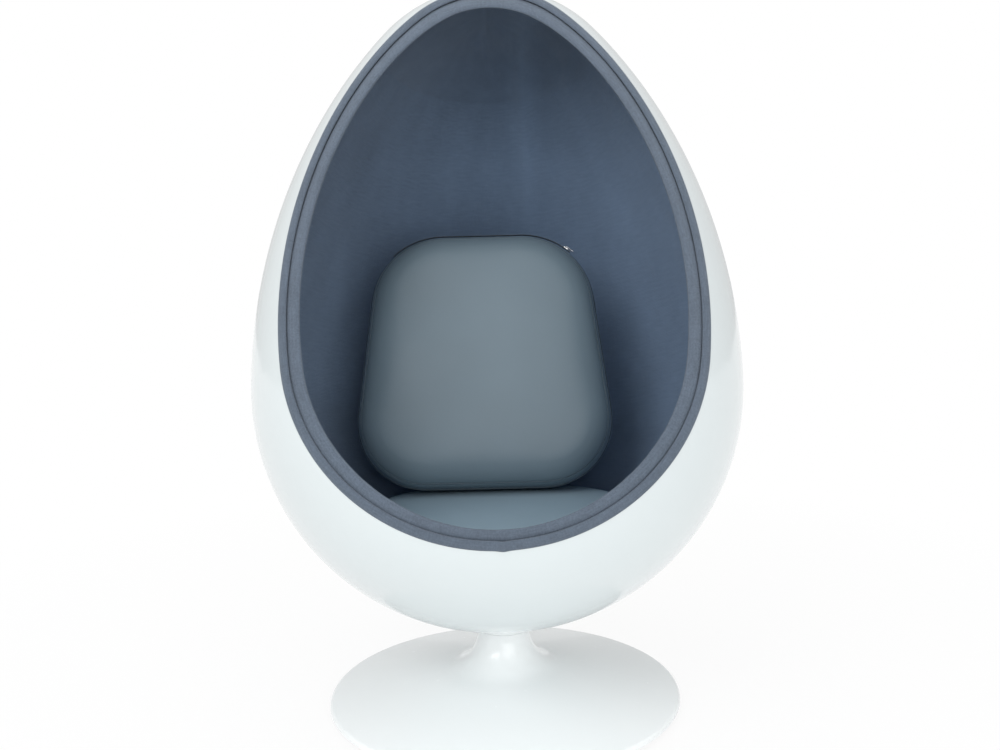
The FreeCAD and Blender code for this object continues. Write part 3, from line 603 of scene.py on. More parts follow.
def painted_lining_shade(finish, tone, painted_shade):
    """Painted shade on the lining's cloth: darker towards the pod's top and left, where shade falls, with a
    painted highlight along the soft fold's ridge.
    """
    # Painted shade: darker towards the top and the left of the pod, less so low down.
    split = finish.split(finish.places)
    high = finish.ranged(split["Z"], 0.98, 1.20)
    left = finish.ranged(split["X"], 0.06, -0.24, 0.0, 0.9)
    shaded = finish.maths("ADD", high, left, clamp=True)
    shaded = finish.times(shaded, finish.ranged(split["Z"], 0.60, 0.95, 0.35, 1.0))
    tone = finish.less(tone, finish.times(shaded, painted_shade))
    # Painted highlight: lighter along the soft fold's ridge, high up and towards the back.
    aside = finish.maths("ABSOLUTE", finish.less(split["X"], FOLD_PLACE))
    fold_highlight = finish.ranged(aside, 0.0, 0.040, 1.0, 0.0)
    fold_highlight = finish.times(fold_highlight, finish.ranged(split["Z"], 0.82, 0.98))
    fold_highlight = finish.times(fold_highlight, finish.ranged(split["Y"], 0.0, 0.12))
    return finish.add(tone, finish.times(fold_highlight, painted_shade * 0.40))


def woven_cloth(effects, name, colour, mapped=True, pitch=720.0, painted_shade=0.0, mottle=0.0):
    """Wool cloth, which follows the piece's own cloth map if mapped, and otherwise its places.

    The painted shade amount darkens the cloth towards the top and the left and puts a painted highlight on
    its fold; mottle is how far the tone of small patches differs."""
    finish = Finish(name, colour)
    vector = finish.node("UVMap", uv_map="Cloth").outputs["UV"] if mapped else finish.places
    made = finish.effect(effects["weave"], vector, Pitch=pitch, Slub=0.9 if painted_shade == 0.0 else 0.5)
    tone = made["Tone"]
    if mottle > 0.0:
        patches = finish.noise(finish.places, 330.0, 2.0)
        tone = finish.add(tone, finish.ranged(patches, 0.3, 0.7, -mottle, mottle))
    # Painted shade and a painted highlight laid over the lining's tone.
    if painted_shade > 0.0:
        tone = painted_lining_shade(finish, tone, painted_shade)
    finish.tones(tone, 0.55, 1.45)
    finish.rough(made["Tone"], 0.95, 0.82)
    finish.bump(made["Height"], 0.0007, 0.8)
    finish.fill(finish.shader, Sheen_Weight=0.25, Sheen_Roughness=0.5, Sheen_Tint=(0.75, 0.82, 0.9, 1.0))
    return finish.material


_palette = {}


def palette():
    """Every finish of the chair by name, made on first use from the panel's colours."""
    if _palette:
        return _palette
    effects = dict(weave=weave_group(), hide=hide_group(), coat=coat_group(), metal=metal_group(),
                   cells=cell_group(), wood=wood_group())
    colours = bpy.context.scene.pod_colours

    def tint(name, factor=1.0):
        return shade(getattr(colours, name), factor)

    _palette.update(
        shell=gloss_coat(effects, "White gel coat", tint("shell"), 0.14),
        pedestal=gloss_coat(effects, "White powder coat", tint("pedestal"), 0.22),
        # The lining's cloth carries painted shade towards the top and left and a painted highlight on its
        # fold.
        lining=woven_cloth(effects, "Lining cloth", tint("cloth"), painted_shade=0.42),
        rim=woven_cloth(effects, "Rim cloth", tint("rim"), pitch=760.0, mottle=0.16),
        binding=woven_cloth(effects, "Binding cloth", tint("rim", 0.95), pitch=760.0, mottle=0.12),
        under_cloth=woven_cloth(effects, "Deck cloth", tint("cloth", 0.7), mapped=False),
        thread=gritty(effects, "Seam thread", tint("rim", 0.2), 2500.0, 0.85, 0.0002),
        leather=smooth_leather(effects, "Slate leather", tint("leather")),
        # Painted light: the seat's leather is the cushions' leather made 1.95 times lighter, standing in for
        # the light that falls on the seat.
        seat_leather=smooth_leather(effects, "Seat leather", tint("leather", 1.95)),
        welt=smooth_leather(effects, "Welt leather", tint("leather", 0.55)),
        piping=smooth_leather(effects, "Piping leather", tint("leather", 0.7)),
        tape=woven_cloth(effects, "Zip tape", tint("leather", 0.35), mapped=False, pitch=1500.0),
        zip=bare_metal(effects, "Zip metal", tint("metal"), 0.22),
        steel=bare_metal(effects, "Turned steel", (0.50, 0.50, 0.51), 0.34),
        black_steel=gloss_coat(effects, "Black plate paint", (0.035, 0.035, 0.038), 0.45),
        iron=gritty(effects, "Cast iron", (0.055, 0.055, 0.06), 900.0, 0.72, 0.0006),
        rubber=gritty(effects, "Glide rubber", (0.025, 0.025, 0.025), 1500.0, 0.8),
        acetal=gritty(effects, "Bush plastic", (0.62, 0.62, 0.60), 2000.0, 0.45, 0.0001),
        laminate=gritty(effects, "Bare laminate", (0.42, 0.46, 0.36), 400.0, 0.5, 0.0005),
        foam=gritty(effects, "Moulded foam", (0.62, 0.58, 0.42), 700.0, 0.9, 0.0008),
        plywood=ply(effects, "Birch plywood", (0.52, 0.36, 0.20)),
    )
    return _palette


NODE_FINISHES = {
    "shell": ("outer_shell",),
    "pedestal": ("pedestal_skin", "swivel_collar"),
    "steel": ("swivel_column", "rim_screws", "foot_screws", "ballast_bolts", "lower_race", "upper_race",
              "bearing_balls", "spindle", "retaining_clip", "end_washer", "swivel_flange",
              "mounting_bolts", "bolt_washers"),
    "black_steel": ("base_plate", "mounting_plate"),
    "iron": ("ballast_ring",),
    "rubber": ("floor_glide", "saddle_pad"),
    "acetal": ("neck_spacer", "upper_bush", "lower_bush", "ball_cage"),
    "laminate": ("inner_pad",),
    "foam": ("lining_foam", "seat_foam", "back_support", "seat_cushion_core", "back_cushion_core"),
    "plywood": ("seat_board",),
    "lining": ("lining_cloth",),
    "rim": ("rim_band", "rim_roll"),
    "leather": ("seat_cushion_cover", "back_cushion_cover"),
    "zip": ("seat_zip_chain", "seat_zip_slider", "back_zip_chain", "back_zip_slider"),
}


# Pieces

def make_hardware():
    """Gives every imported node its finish."""
    finishes = palette()
    for name, members in NODE_FINISHES.items():
        for member in members:
            paint(nodes[member], finishes[name])


def lining_fold(across, away, up, ease):
    """How far the lining stands in from its foam at a place: its soft fold, its seam and its ease."""
    rear = clamped((away + 0.02) / 0.12)
    high = clamped((up - 0.84) / 0.10) * clamped((1.26 - up) / 0.05)
    path = FOLD_PLACE + 0.004 * math.sin(up * 21.0)
    fold = 0.0052 * bell(across - path, 0.013) * high * rear
    fold -= 0.0030 * bell(across - path + 0.026, 0.011) * high * rear
    seam_high = clamped((up - 1.15) / 0.06)
    fold -= 0.0036 * bell(across - SEAM_PLACE, 0.0045) * seam_high
    fold += 0.0020 * bell(abs(across - SEAM_PLACE) - 0.012, 0.006) * seam_high
    pucker = noise.noise(Vector((across * 9.0, away * 9.0, up * 3.0)))
    swell = noise.noise(Vector((across * 4.0 + 7.0, away * 4.0, up * 4.0)))
    return max(DEEPEST_FOLD, fold + (0.0009 * pucker + 0.0014 * swell) * ease)


def make_lining():
    """The cloth lining: the egg's inner face, cut open behind the roll, with its seam and soft folds."""
    sizes = bpy.context.scene.pod_sizes
    # The rows lie a little closer together towards the top.
    angles = [math.radians(-90.0 + 180.0 * (number / (LINING_ROWS - 1)) ** 0.92)
              for number in range(LINING_ROWS)]
    turns = [2 * math.pi * spoke / LINING_SPOKES + math.pi for spoke in range(LINING_SPOKES)]
    rings = [[wall_point(angle, turn, LINING_DEPTH) for turn in turns] for angle in angles]
    along = sum((low[0] - high[0]).length for low, high in zip(rings, rings[1:]))
    piece = ring_surface("lining_cover", rings, cloth_size=(LINING_LENGTH, along))
    select_only(piece)
    edit_all()
    bpy.ops.mesh.bisect(plane_co=EGG_CENTRE + OPENING_NORMAL * (OPENING_DISTANCE - LINING_CUT),
                        plane_no=OPENING_NORMAL, clear_outer=True)
    bpy.ops.object.mode_set(mode="OBJECT")
    close_poles(piece)
    moved = points_of(piece)
    for number, place in enumerate(moved.tolist()):
        inward = (EGG_CENTRE - Vector(place)).normalized()
        moved[number] = Vector(place) + inward * lining_fold(*place, sizes.lining_ease)
    set_points(piece, moved)
    apply_modifier(piece, "SOLIDIFY", thickness=LINING_THICKNESS, offset=1.0)
    smooth(piece)
    finish_piece(piece, "pod", "lining_cloth", palette()["lining"], "lining_cloth", "lining_foam")


def rim_rings(section):
    turns = [2 * math.pi * spoke / RIM_SPOKES for spoke in range(RIM_SPOKES)]
    return np.array([[rim_point(turn, depth, reach) for turn in turns] for depth, reach in section])


def rounded_section(depth, reach, half_depth, half_reach, power, steps):
    """A closed rounded outline of depth and reach about a middle."""
    spots = []
    for step in range(steps):
        turn = 2 * math.pi * step / steps
        side, front = math.cos(turn), math.sin(turn)
        spots.append((depth + half_depth * math.copysign(abs(side) ** (2 / power), side),
                      reach + half_reach * math.copysign(abs(front) ** (2 / power), front)))
    return spots


def make_binding():
    """The cloth binding over the shell's edge. Its two ends meet at the bottom in a small overlapped join."""
    rings = rim_rings(BINDING_SECTION)
    pull = np.zeros(rings.shape)
    for row, (_, reach) in enumerate(BINDING_SECTION[:BINDING_FACE]):
        for spoke in range(RIM_SPOKES):
            around = (spoke / RIM_SPOKES - 0.5) * BINDING_LENGTH
            lap = bell(around + 0.007, 0.008)
            ease = 0.00035 * noise.noise(Vector(rings[row, spoke]) * 26.0)
            ease += 0.0018 * lap - 0.0024 * bell(around + 0.020, 0.004)
            pull[row, spoke] = np.array(OPENING_NORMAL) * ease * (1.0 if reach > 0 else 0.3)
            pull[row, spoke] -= np.array(OPENING_UP) * 0.0016 * lap
    binding = ring_surface("rim_binding", rings + pull, closed=True, cloth_size=(BINDING_LENGTH, 0.036))
    close_poles(binding)
    smooth(binding, math.radians(60.0))
    finish_piece(binding, "pod", "rim_cloth", palette()["binding"], "rim_band")


def make_roll():
    """The padded roll, whose front swells out and puckers a little where the cloth turns a tight corner."""
    ease = bpy.context.scene.pod_sizes.roll_ease
    section = rounded_section(*ROLL_SECTION)
    rings = rim_rings(section)
    middle = rings.mean(axis=0)
    # Under the sitter's knees the roll is pulled tighter, towards the side next to the binding.
    outer = rings[len(section) // 2]
    for spoke in range(RIM_SPOKES):
        below = (spoke / RIM_SPOKES - 0.5) * EDGE_LENGTH
        rings[:, spoke] += (outer[spoke] - rings[:, spoke]) * 0.20 * bell(below, 0.22)
    for row, (depth, reach) in enumerate(section):
        front = clamped((reach + 0.012) / 0.02)
        for spoke in range(RIM_SPOKES):
            around = spoke / RIM_SPOKES * EDGE_LENGTH
            wobble = noise.noise(Vector((around * 16.0, depth * 60.0, reach * 40.0)))
            pucker = noise.noise(Vector((around * 70.0, 3.0, reach * 30.0)))
            swell = (0.020 * wobble + 0.014 * pucker) * front * ease - 0.012
            rings[row, spoke] += (rings[row, spoke] - middle[spoke]) * swell
    roll = ring_surface("rim_padding", rings, closed=True, cloth_size=(ROLL_LENGTH, 0.088))
    close_poles(roll)
    smooth(roll)
    finish_piece(roll, "pod", "rim_cloth", palette()["rim"], "rim_roll")


def make_rim():
    """The binding over the shell's edge, the padded roll and the dark stitched line between the two."""
    make_binding()
    make_roll()
    seam = tube_along("rim_seam", rim_rings([SEAM_SPOT])[0], SEAM_RADIUS, 6, OPENING_NORMAL)
    finish_piece(seam, "pod", "rim_cloth", palette()["thread"])


def copied_form(name, members, voxel, passes):
    """One rounded form over copies of packed soft solids."""
    copies = []
    for member in members:
        copy = copy_of(nodes[member])
        copy.parent = None
        for key in list(copy.keys()):
            if key.startswith("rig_"):
                del copy[key]
        copy.hide_render = False
        copy.hide_viewport = False
        copies.append(copy)
    piece = join_all(copies, name)
    close_poles(piece)
    apply_modifier(piece, "REMESH", mode="VOXEL", voxel_size=voxel)
    apply_modifier(piece, "SMOOTH", factor=0.5, iterations=passes)
    smooth(piece, math.radians(70.0))
    return piece


def make_deck():
    """The cloth-covered deck under the seat cushion and the bolster behind the back cushion."""
    for name, members, passes, fill in (("seat_deck", ("seat_foam", "seat_board"), 6, 0.95),
                                        ("back_bolster", ("back_support",), 8, 0.9)):
        piece = copied_form(name, members, 0.006, passes)
        finish_piece(piece, "pod", "lining_cloth", palette()["under_cloth"], *members)


# Cushions

def outline_points(form, inset, count):
    """The cushion's outline moved in by an inset, as evenly spread points of its own X and Z."""
    lean = math.atan2(form["half_low"] - form["half_high"], form["length"])
    spots = []
    for radius, start, stop, high in ((form["round_low"], -math.pi / 2, lean, False),
                                      (form["round_high"], lean, math.pi / 2, True)):
        radius = max(radius - inset, SMALLEST_ROUND)
        depth = inset + radius
        rise = form["length"] - depth if high else depth
        east = (form["half_low"] * math.cos(lean) - depth - rise * math.sin(lean)) / math.cos(lean)
        for step in range(CORNER_STEPS + 1):
            angle = start + (stop - start) * step / CORNER_STEPS
            spots.append((east + radius * math.cos(angle), rise + radius * math.sin(angle)))
    spots += [(-east, rise) for east, rise in reversed(spots)]
    spots = np.array(spots)
    lengths = np.linalg.norm(np.roll(spots, -1, axis=0) - spots, axis=1)
    ends = np.concatenate([[0.0], np.cumsum(lengths)])
    looped = np.vstack([spots, spots[:1]])
    wanted = np.linspace(0.0, ends[-1], count, endpoint=False)
    return np.stack([np.interp(wanted, ends, looped[:, 0]), np.interp(wanted, ends, looped[:, 1])], axis=1)


def cushion_rings(form, inset, fullness, count):
    """Rings from the middle of the crowned face over the seam to the middle of the far face."""
    rings = []
    for sign, rise, draw in ((-1, form["crown"], form["front_draw"]), (1, form["belly"], form["draw"])):
        flat = outline_points(form, inset + draw, count)
        middle = flat.mean(axis=0)
        side = [(middle + (flat - middle) * share, sign * rise * fullness)
                for share in (0.02, 0.2, 0.4, 0.6, 0.8)]
        for step in range(EDGE_STEPS, 0, -1):
            turn = math.pi / 2 * step / EDGE_STEPS
            spots = outline_points(form, inset + draw * (1 - math.cos(turn)), count)
            side.append((spots, sign * rise * fullness * math.sin(turn)))
        if sign < 0:
            rings += side
            rings.append((outline_points(form, inset, count), 0.0))
        else:
            rings += side[::-1]
    return [np.stack([spots[:, 0], np.full(count, depth), spots[:, 1]], axis=1) for spots, depth in rings]


def inflate(piece, form, movement_cap, pressure):
    """Blows the cushion up as cloth held along its seam, caps the movement and keeps the result."""
    rest = points_of(piece)
    seam = outline_points(form, LEATHER_INSET, OUTLINE_COUNT)
    flat = rest[:, [0, 2]]
    nearest = np.min(np.linalg.norm(flat[:, None, :] - seam[None, :, :], axis=2), axis=1)
    held = [int(index) for index in np.nonzero((np.abs(rest[:, 1]) < 0.006) & (nearest < 0.012))[0]]
    group = piece.vertex_groups.new(name="Seam")
    group.add(held, 1.0, "REPLACE")
    select_only(piece)
    modifier = piece.modifiers.new("Cloth", "CLOTH")
    cloth = modifier.settings
    cloth.quality = 6
    cloth.mass = 0.35
    cloth.tension_stiffness = cloth.compression_stiffness = 12.0
    cloth.shear_stiffness = 6.0
    cloth.bending_stiffness = 3.0
    cloth.use_pressure = True
    cloth.uniform_pressure_force = pressure
    cloth.effector_weights.gravity = 0.0
    cloth.vertex_group_mass = "Seam"
    modifier.point_cache.frame_start = 1
    modifier.point_cache.frame_end = CLOTH_FRAMES
    for step in range(1, CLOTH_FRAMES + 1):
        bpy.context.scene.frame_set(step)
    bpy.ops.object.modifier_apply(modifier=modifier.name)
    bpy.context.scene.frame_set(1)
    grown = points_of(piece)
    move = grown - rest
    length = np.linalg.norm(move, axis=1)
    share = np.minimum(1.0, movement_cap / np.maximum(length, 1e-9))
    set_points(piece, rest + move * share[:, None])
    piece.vertex_groups.clear()


def seam_groove(piece, form):
    """Draws the leather in along the front panel's seam, where a row of stitches holds it."""
    places = points_of(piece)
    away = places - np.array([0.0, 0.0, form["length"] / 2])
    flat = np.linalg.norm(away[:, [0, 2]], axis=1)[:, None]
    near_edge = flat[:, 0] > 0.6 * form["half_high"]
    pull = PANEL_SEAM_SINK * bell(places[:, 1] - PANEL_SEAM, PANEL_SEAM_WIDTH) * near_edge
    direction = np.stack([away[:, 0], np.zeros(len(away)), away[:, 2]], axis=1) / np.maximum(flat, 1e-6)
    set_points(piece, places - direction * pull[:, None])


def edge_path(piece, form, offset, lift):
    """Points round the cushion on its leather, at an offset from the seam's plane."""
    tree = BVHTree.FromObject(piece, bpy.context.evaluated_depsgraph_get())
    middle = Vector((0.0, offset, form["length"] / 2))
    path = []
    for east, rise in outline_points(form, -0.05, OUTLINE_COUNT):
        start = Vector((east, offset, rise))
        way = (middle - start).normalized()
        hit = tree.ray_cast(start, way)[0]
        path.append(hit - way * lift)
    path = np.array(path)
    for _ in range(3):
        path = (np.roll(path, 1, axis=0) + path * 2 + np.roll(path, -1, axis=0)) / 4
    return path


def make_cushion(name, form, place, body, fullness, material, stands_for):
    """A leather cushion: a crowned form blown up as cloth, with its welt and its front panel's seam."""
    sizes = bpy.context.scene.pod_sizes
    finishes = palette()
    piece = ring_surface(f"{name}_pad", cushion_rings(form, LEATHER_INSET, fullness, CUSHION_SPOKES))
    select_only(piece)
    edit_all()
    bpy.ops.mesh.select_all(action="DESELECT")
    bpy.ops.mesh.select_non_manifold()
    bpy.ops.mesh.fill()
    bpy.ops.object.mode_set(mode="OBJECT")
    close_poles(piece)
    apply_modifier(piece, "REMESH", mode="VOXEL", voxel_size=sizes.cushion_voxel)
    apply_modifier(piece, "SMOOTH", factor=0.5, iterations=4)
    inflate(piece, form, sizes.movement_cap, sizes.cushion_pressure)
    apply_modifier(piece, "SUBSURF", levels=1, render_levels=1)
    apply_modifier(piece, "SMOOTH", factor=0.5, iterations=8)
    seam_groove(piece, form)
    smooth(piece, math.radians(80.0))
    # The cords are laid while the cushion still lies in its own place, and all of it is moved after.
    parts = [(piece, material, stands_for)]
    for kind, offset, lift, radius, finish in (
            ("welt", 0.0, 0.0004, sizes.welt_radius, "welt"),
            ("panel_seam", PANEL_SEAM, 0.0002, sizes.welt_radius * 0.7, "piping")):
        path = edge_path(piece, form, offset, lift)
        parts.append((tube_along(f"{name}_{kind}", path, radius, 8, (0.0, 1.0, 0.0)), finish, ()))
    for part, finish, nodes_shown in parts:
        part.data.transform(place)
        part.data.update()
        finish_piece(part, body, "cushion_leather", finishes[finish], *nodes_shown)


class ZipPath:
    """The line that a zip follows round the cushion's far end, with its direction and what faces out."""

    def __init__(self, form, half_reach):
        outline = outline_points(form, ZIP_INSET, ZIP_STEPS)
        self.spots = outline[(outline[:, 1] > form["length"] * 0.5) & (np.abs(outline[:, 0]) < half_reach)]
        self.ahead = np.gradient(self.spots, axis=0)
        self.ahead /= np.linalg.norm(self.ahead, axis=1)[:, None]
        self.out = np.stack([self.ahead[:, 1], -self.ahead[:, 0]], axis=1)
        if np.sum(self.out * (self.spots - np.array([0.0, form["length"] / 2]))) < 0:
            self.out = -self.out
        steps = np.linalg.norm(np.diff(self.spots, axis=0), axis=1)
        self.spacing = np.concatenate([[0.0], np.cumsum(steps)])
        self.length = self.spacing[-1]

    def at(self, distance):
        """The spot, what faces out and the direction at a distance along the path."""
        return [[np.interp(distance, self.spacing, line[:, axis]) for axis in (0, 1)]
                for line in (self.spots, self.out, self.ahead)]


def lying(along, out):
    """A turn that lays X along the zip and Z out of the cushion."""
    return Matrix(((along[0], 0.0, out[0]), (0.0, 1.0, 0.0), (along[1], 0.0, out[1]))).to_4x4()


def make_zip(name, form, place, body, half_reach, pull_share, stands_for):
    """A zip along the cushion's far end: tape, teeth copied from one, slider and pull.

    pull_share is how far along the zip the slider stands."""
    finishes = palette()
    path = ZipPath(form, half_reach)
    deselect()
    columns = len(path.spots) - 1
    bpy.ops.mesh.primitive_grid_add(x_subdivisions=columns, y_subdivisions=4, size=1.0)
    tape = fresh(f"{name}_zip_tape")
    grid = points_of(tape)
    spots = path.spots[np.rint((grid[:, 0] + 0.5) * columns).astype(int)]
    set_points(tape, np.stack([spots[:, 0], grid[:, 1] * 2 * TAPE_HALF_WIDTH, spots[:, 1]], axis=1))
    apply_modifier(tape, "SOLIDIFY", thickness=TAPE_THICKNESS, offset=0.0)
    close_poles(tape)
    tape.data.transform(place)
    finish_piece(tape, body, "cushion_leather", finishes["tape"])

    # Teeth: one bevelled block, then a copy of it at each place, by turns from either side.
    tooth = new_cube(f"{name}_zip_tooth")
    set_points(tooth, points_of(tooth) * np.array(TOOTH_SIZE))
    apply_modifier(tooth, "BEVEL", width=0.0002, segments=1)
    copies = []
    for number in range(int(path.length / TOOTH_PITCH)):
        spot, out, along = path.at(number * TOOTH_PITCH)
        side = TOOTH_SHIFT if number % 2 else -TOOTH_SHIFT
        shift = Matrix.Translation((spot[0] + out[0] * TOOTH_SHIFT, side, spot[1] + out[1] * TOOTH_SHIFT))
        copies.append(copy_of(tooth))
        copies[-1].data.transform(place @ shift @ lying(along, out))
    bpy.data.objects.remove(tooth)
    teeth = join_all(copies, f"{name}_zip_teeth")
    finish_piece(teeth, body, "zip_metal", finishes["zip"], stands_for[0])

    # Slider and pull: the pull hangs down whichever way the path runs.
    spot, out, along = path.at(pull_share * path.length)
    if along[1] > 0:
        along = [-along[0], -along[1]]
    seat = place @ Matrix.Translation((spot[0], 0.0, spot[1])) @ lying(along, out)
    for part, stands in ((zip_slider(f"{name}_zip_slider"), stands_for[1:]),
                         (zip_pull(f"{name}_zip_pull"), ())):
        part.data.transform(seat)
        if seat.to_3x3().determinant() < 0:
            part.data.flip_normals()
        finish_piece(part, body, "zip_metal", finishes["zip"], *stands)


def zip_slider(name):
    """The slider's body, waisted in the middle, with a bridge raised on its top."""
    piece = new_cube(name)
    edit_all()
    bpy.ops.mesh.subdivide(number_cuts=3)
    bpy.ops.object.mode_set(mode="OBJECT")
    places = points_of(piece)
    along, across, up = np.abs(places[:, 0]), np.abs(places[:, 1]), places[:, 2]
    bridge = np.where((across < 0.2) & (up > 0.4) & (along < 0.4), 0.45, 0.0)
    places[:, 1] *= 1.0 - 0.28 * bell(along, 0.22)
    places[:, 2] += bridge
    set_points(piece, places * np.array(SLIDER_SIZE) + np.array(SLIDER_PLACE))
    apply_modifier(piece, "BEVEL", width=0.0004, segments=2, limit_method="ANGLE")
    apply_modifier(piece, "SUBSURF", levels=1, render_levels=1)
    smooth(piece)
    return piece


def zip_pull(name):
    """The pull tab: a flat plate with a slot through it, lying along the zip."""
    deselect()
    bpy.ops.mesh.primitive_grid_add(x_subdivisions=9, y_subdivisions=5, size=1.0)
    piece = fresh(name)
    edit_all("FACE")
    bpy.ops.mesh.select_all(action="DESELECT")
    form = bmesh.from_edit_mesh(piece.data)
    for face in form.faces:
        middle = face.calc_center_median()
        face.select_set(abs(middle.y) < 0.15 and -0.4 < middle.x < -0.12)
    bmesh.update_edit_mesh(piece.data)
    bpy.ops.mesh.delete(type="FACE")
    bpy.ops.mesh.select_all(action="SELECT")
    bpy.ops.mesh.extrude_region_move(TRANSFORM_OT_translate={"value": (0.0, 0.0, 1.0)})
    bpy.ops.mesh.select_all(action="SELECT")
    bpy.ops.mesh.normals_make_consistent(inside=False)
    bpy.ops.object.mode_set(mode="OBJECT")
    places = points_of(piece)
    places[:, 1] *= 1.0 - 0.25 * np.clip(places[:, 0] + 0.1, 0.0, 1.0) * 2
    set_points(piece, places * np.array(PULL_SIZE) + np.array(PULL_PLACE))
    apply_modifier(piece, "BEVEL", width=0.0003, segments=2, limit_method="ANGLE")
    smooth(piece)
    return piece


# Stage

def floor_material(name, colour, shadow_share):
    """A pale surface that keeps a faint shadow near the chair and looks white further out.

    shadow_share is how white it looks to the camera and in reflections beside the chair."""
    finish = Finish(name, colour)
    finish.tones(finish.noise(finish.places, 4.0, 2.0), 0.99, 1.0)
    finish.fill(finish.shader, Roughness=0.9)
    glow = finish.node("Emission")
    finish.fill(glow, Color=(1.0, 1.0, 1.0, 1.0))
    path = finish.node("LightPath").outputs
    seen = finish.maths("MAXIMUM", path["Is Camera Ray"], path["Is Glossy Ray"])
    seen = finish.maths("MAXIMUM", seen, path["Is Transmission Ray"])
    reach = finish.node("VectorMath", operation="LENGTH")
    finish.feed(reach.inputs[0], finish.places)
    white = finish.ranged(reach.outputs["Value"], 0.45, 1.7, shadow_share, 1.0)
    blend = finish.node("MixShader")
    for socket, value in zip(blend.inputs, (finish.times(seen, white), finish.shader.outputs[0],
                                            glow.outputs[0])):
        finish.feed(socket, value)
    finish.feed(finish.tree.nodes["Material Output"].inputs[0], blend.outputs[0])
    return finish.material


def make_stage():
    """Floor, lights, world and camera."""
    scene = bpy.context.scene
    scene.view_settings.view_transform = "Standard"
    deselect()
    bpy.ops.mesh.primitive_plane_add(size=30.0)
    floor = fresh("floor")
    paint(floor, floor_material("Pale floor", (0.90, 0.905, 0.905), 0.90))

    world = bpy.data.worlds.new("Soft studio")
    scene.world = world
    world.use_nodes = True
    net = Net(world.node_tree)
    path = net.node("LightPath").outputs
    seen = net.maths("MAXIMUM", path["Is Camera Ray"], path["Is Transmission Ray"])
    net.fill(world.node_tree.nodes["Background"], Color=(1.0, 1.0, 1.0, 1.0),
             Strength=net.ranged(seen, 0.0, 1.0, 0.68, 1.0))

    for name, place, target, size, power in LIGHTS:
        data = bpy.data.lights.new(name, "AREA")
        data.energy = power
        data.size = size
        lamp = bpy.data.objects.new(name, data)
        scene.collection.objects.link(lamp)
        lamp.location = place
        lamp.rotation_mode = "QUATERNION"
        lamp.rotation_quaternion = (Vector(target) - Vector(place)).to_track_quat("-Z", "Y")

    camera = bpy.data.cameras.new("camera")
    camera.sensor_width = 36.0
    camera.lens = CAMERA_LENS
    camera.clip_start = 0.05
    camera.clip_end = 60.0
    seat = bpy.data.objects.new("camera", camera)
    scene.collection.objects.link(seat)
    yaw, pitch, roll = CAMERA_TURNS
    ahead = Vector((math.sin(yaw) * math.cos(pitch), math.cos(yaw) * math.cos(pitch), -math.sin(pitch)))
    level = Vector((math.cos(yaw), -math.sin(yaw), 0.0))
    upright = level.cross(ahead)
    across = level * math.cos(roll) + upright * math.sin(roll)
    upward = upright * math.cos(roll) - level * math.sin(roll)
    turn = Matrix((across, upward, -ahead)).transposed()
    seat.matrix_world = Matrix.Translation(CAMERA_PLACE) @ turn.to_4x4()
    scene.camera = seat


# Panel properties

class PodSizes(bpy.types.PropertyGroup):
    """Sizes and strengths that change how the soft pieces look."""

    welt_radius: FloatProperty(
        name="Welt radius", description="Radius of the cord sewn into the cushions' seam",
        default=0.0021, min=0.001, max=0.005, unit="LENGTH")
    cushion_voxel: FloatProperty(
        name="Cushion cell", description="Size of a cell of the cushions' leather in the simulation",
        default=0.006, min=0.004, max=0.02, unit="LENGTH")
    cushion_pressure: FloatProperty(
        name="Cushion pressure", description="Pressure that blows the cushions up",
        default=0.25, min=0.0, max=12.0)
    movement_cap: FloatProperty(
        name="Movement cap", description="How far the leather may move while it is blown up",
        default=0.022, min=0.0, max=0.05, unit="LENGTH")
    cushion_fill: FloatProperty(
        name="Cushion fill", description="How full the cushions are, from slack to tight",
        default=0.8, min=0.0, max=1.0, subtype="FACTOR")
    lining_ease: FloatProperty(
        name="Lining ease", description="How loosely the cloth lies on the foam",
        default=1.0, min=0.0, max=3.0)
    roll_ease: FloatProperty(
        name="Roll ease", description="How much the padded roll's cloth puckers",
        default=1.0, min=0.0, max=3.0)


def tint_property(name, description, default):
    return FloatVectorProperty(name=name, description=description, default=default,
                               subtype="COLOR", size=3, min=0.0, max=1.0)


class PodColours(bpy.types.PropertyGroup):
    """Colours of the finishes, linear."""

    shell: tint_property("Shell", "Gel coat of the shell", (0.67, 0.725, 0.735))
    pedestal: tint_property("Pedestal", "Powder coat of the pedestal and the collar", (0.90, 0.93, 0.935))
    cloth: tint_property("Cloth", "Cloth of the lining", (0.170, 0.246, 0.362))
    rim: tint_property("Rim", "Cloth of the binding and the padded roll", (0.094, 0.122, 0.163))
    leather: tint_property("Leather", "Leather of both cushions", (0.150, 0.205, 0.243))
    metal: tint_property("Zip", "Metal of the zips", (0.72, 0.73, 0.74))


# Operators

class POD_OT_stage(bpy.types.Operator):
    """Makes the floor, the lights and the camera"""

    bl_idname = "pod.stage"
    bl_label = "Stage"

    def execute(self, context):
        make_stage()
        return {"FINISHED"}


class POD_OT_hardware(bpy.types.Operator):
    """Gives the shell, the pedestal and the swivel parts their finishes"""

    bl_idname = "pod.hardware"
    bl_label = "Shell and pedestal finishes"

    def execute(self, context):
        make_hardware()
        return {"FINISHED"}


class POD_OT_lining(bpy.types.Operator):
    """Builds the cloth lining of the egg"""

    bl_idname = "pod.lining"
    bl_label = "Lining"

    def execute(self, context):
        make_lining()
        return {"FINISHED"}


class POD_OT_rim(bpy.types.Operator):
    """Builds the binding, the seam and the padded roll of the opening"""

    bl_idname = "pod.rim"
    bl_label = "Rim"

    def execute(self, context):
        make_rim()
        return {"FINISHED"}


class POD_OT_deck(bpy.types.Operator):
    """Builds the deck under the seat and the bolster behind the back"""

    bl_idname = "pod.deck"
    bl_label = "Deck and bolster"

    def execute(self, context):
        make_deck()
        return {"FINISHED"}


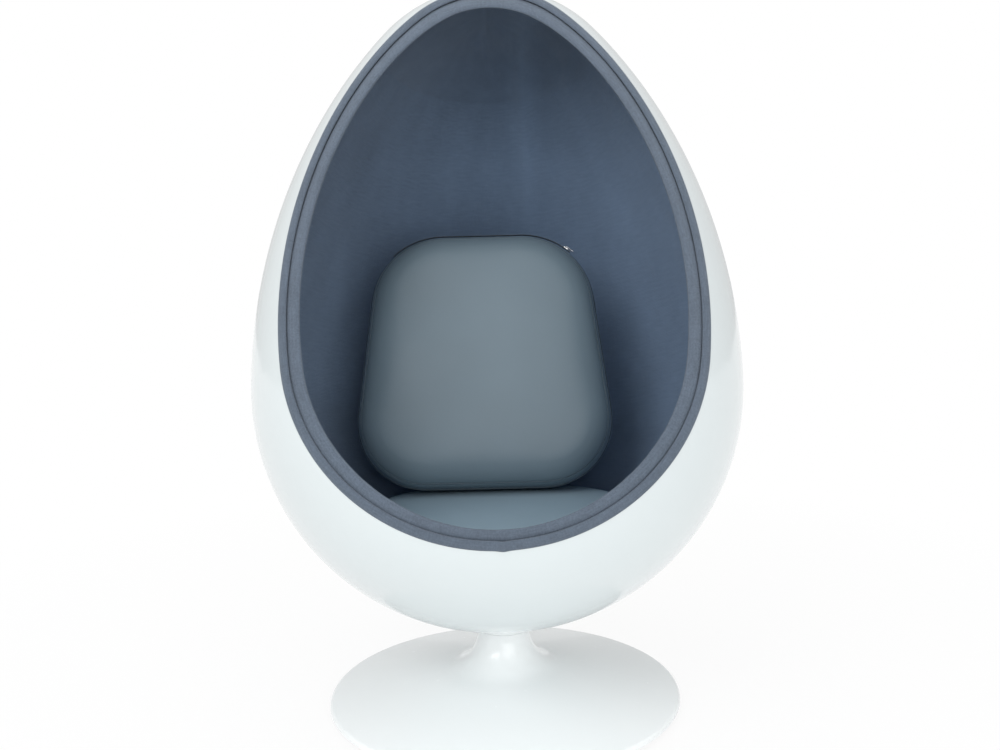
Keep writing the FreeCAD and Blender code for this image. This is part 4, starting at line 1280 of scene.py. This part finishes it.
class POD_OT_seat(bpy.types.Operator):
    """Builds the seat cushion and its zip"""

    bl_idname = "pod.seat"
    bl_label = "Seat cushion"

    def execute(self, context):
        # The seat cushion wears the copy of the leather painted lighter.
        make_cushion("seat", SEAT_FORM, SEAT_PLACE, "seat_cushion", 0.86, "seat_leather",
                     ("seat_cushion_cover", "seat_cushion_core"))
        make_zip("seat", SEAT_FORM, SEAT_PLACE, "seat_cushion", 0.150, 0.97,
                 ("seat_zip_chain", "seat_zip_slider"))
        return {"FINISHED"}


class POD_OT_back(bpy.types.Operator):
    """Builds the back cushion and its zip"""

    bl_idname = "pod.back"
    bl_label = "Back cushion"

    def execute(self, context):
        make_cushion("back", BACK_FORM, BACK_PLACE, "back_cushion", 0.88, "leather",
                     ("back_cushion_cover", "back_cushion_core"))
        make_zip("back", BACK_FORM, BACK_PLACE, "back_cushion", 0.170, 0.03,
                 ("back_zip_chain", "back_zip_slider"))
        return {"FINISHED"}


OPERATORS = (POD_OT_stage, POD_OT_hardware, POD_OT_lining, POD_OT_rim, POD_OT_deck, POD_OT_seat, POD_OT_back)


class POD_PT_panel(bpy.types.Panel):
    """Lists the chair's sizes, colours and pieces"""

    bl_idname = "POD_PT_panel"
    bl_label = "Pod chair"
    bl_space_type = "VIEW_3D"
    bl_region_type = "UI"
    bl_category = "Pod chair"

    def draw(self, context):
        for group in (context.scene.pod_sizes, context.scene.pod_colours):
            column = self.layout.column()
            for name in group.__annotations__:
                column.prop(group, name)
        for operator in OPERATORS:
            self.layout.operator(operator.bl_idname)


CLASSES = (PodSizes, PodColours, *OPERATORS, POD_PT_panel)


def register():
    for each in CLASSES:
        bpy.utils.register_class(each)
    bpy.types.Scene.pod_sizes = PointerProperty(type=PodSizes)
    bpy.types.Scene.pod_colours = PointerProperty(type=PodColours)


def unregister():
    del bpy.types.Scene.pod_colours
    del bpy.types.Scene.pod_sizes
    for each in reversed(CLASSES):
        bpy.utils.unregister_class(each)


def main():
    register()
    bpy.ops.pod.stage()
    bpy.ops.pod.hardware()
    bpy.ops.pod.lining()
    bpy.ops.pod.rim()
    bpy.ops.pod.deck()
    bpy.ops.pod.seat()
    bpy.ops.pod.back()


if __name__ == "__main__":
    main()
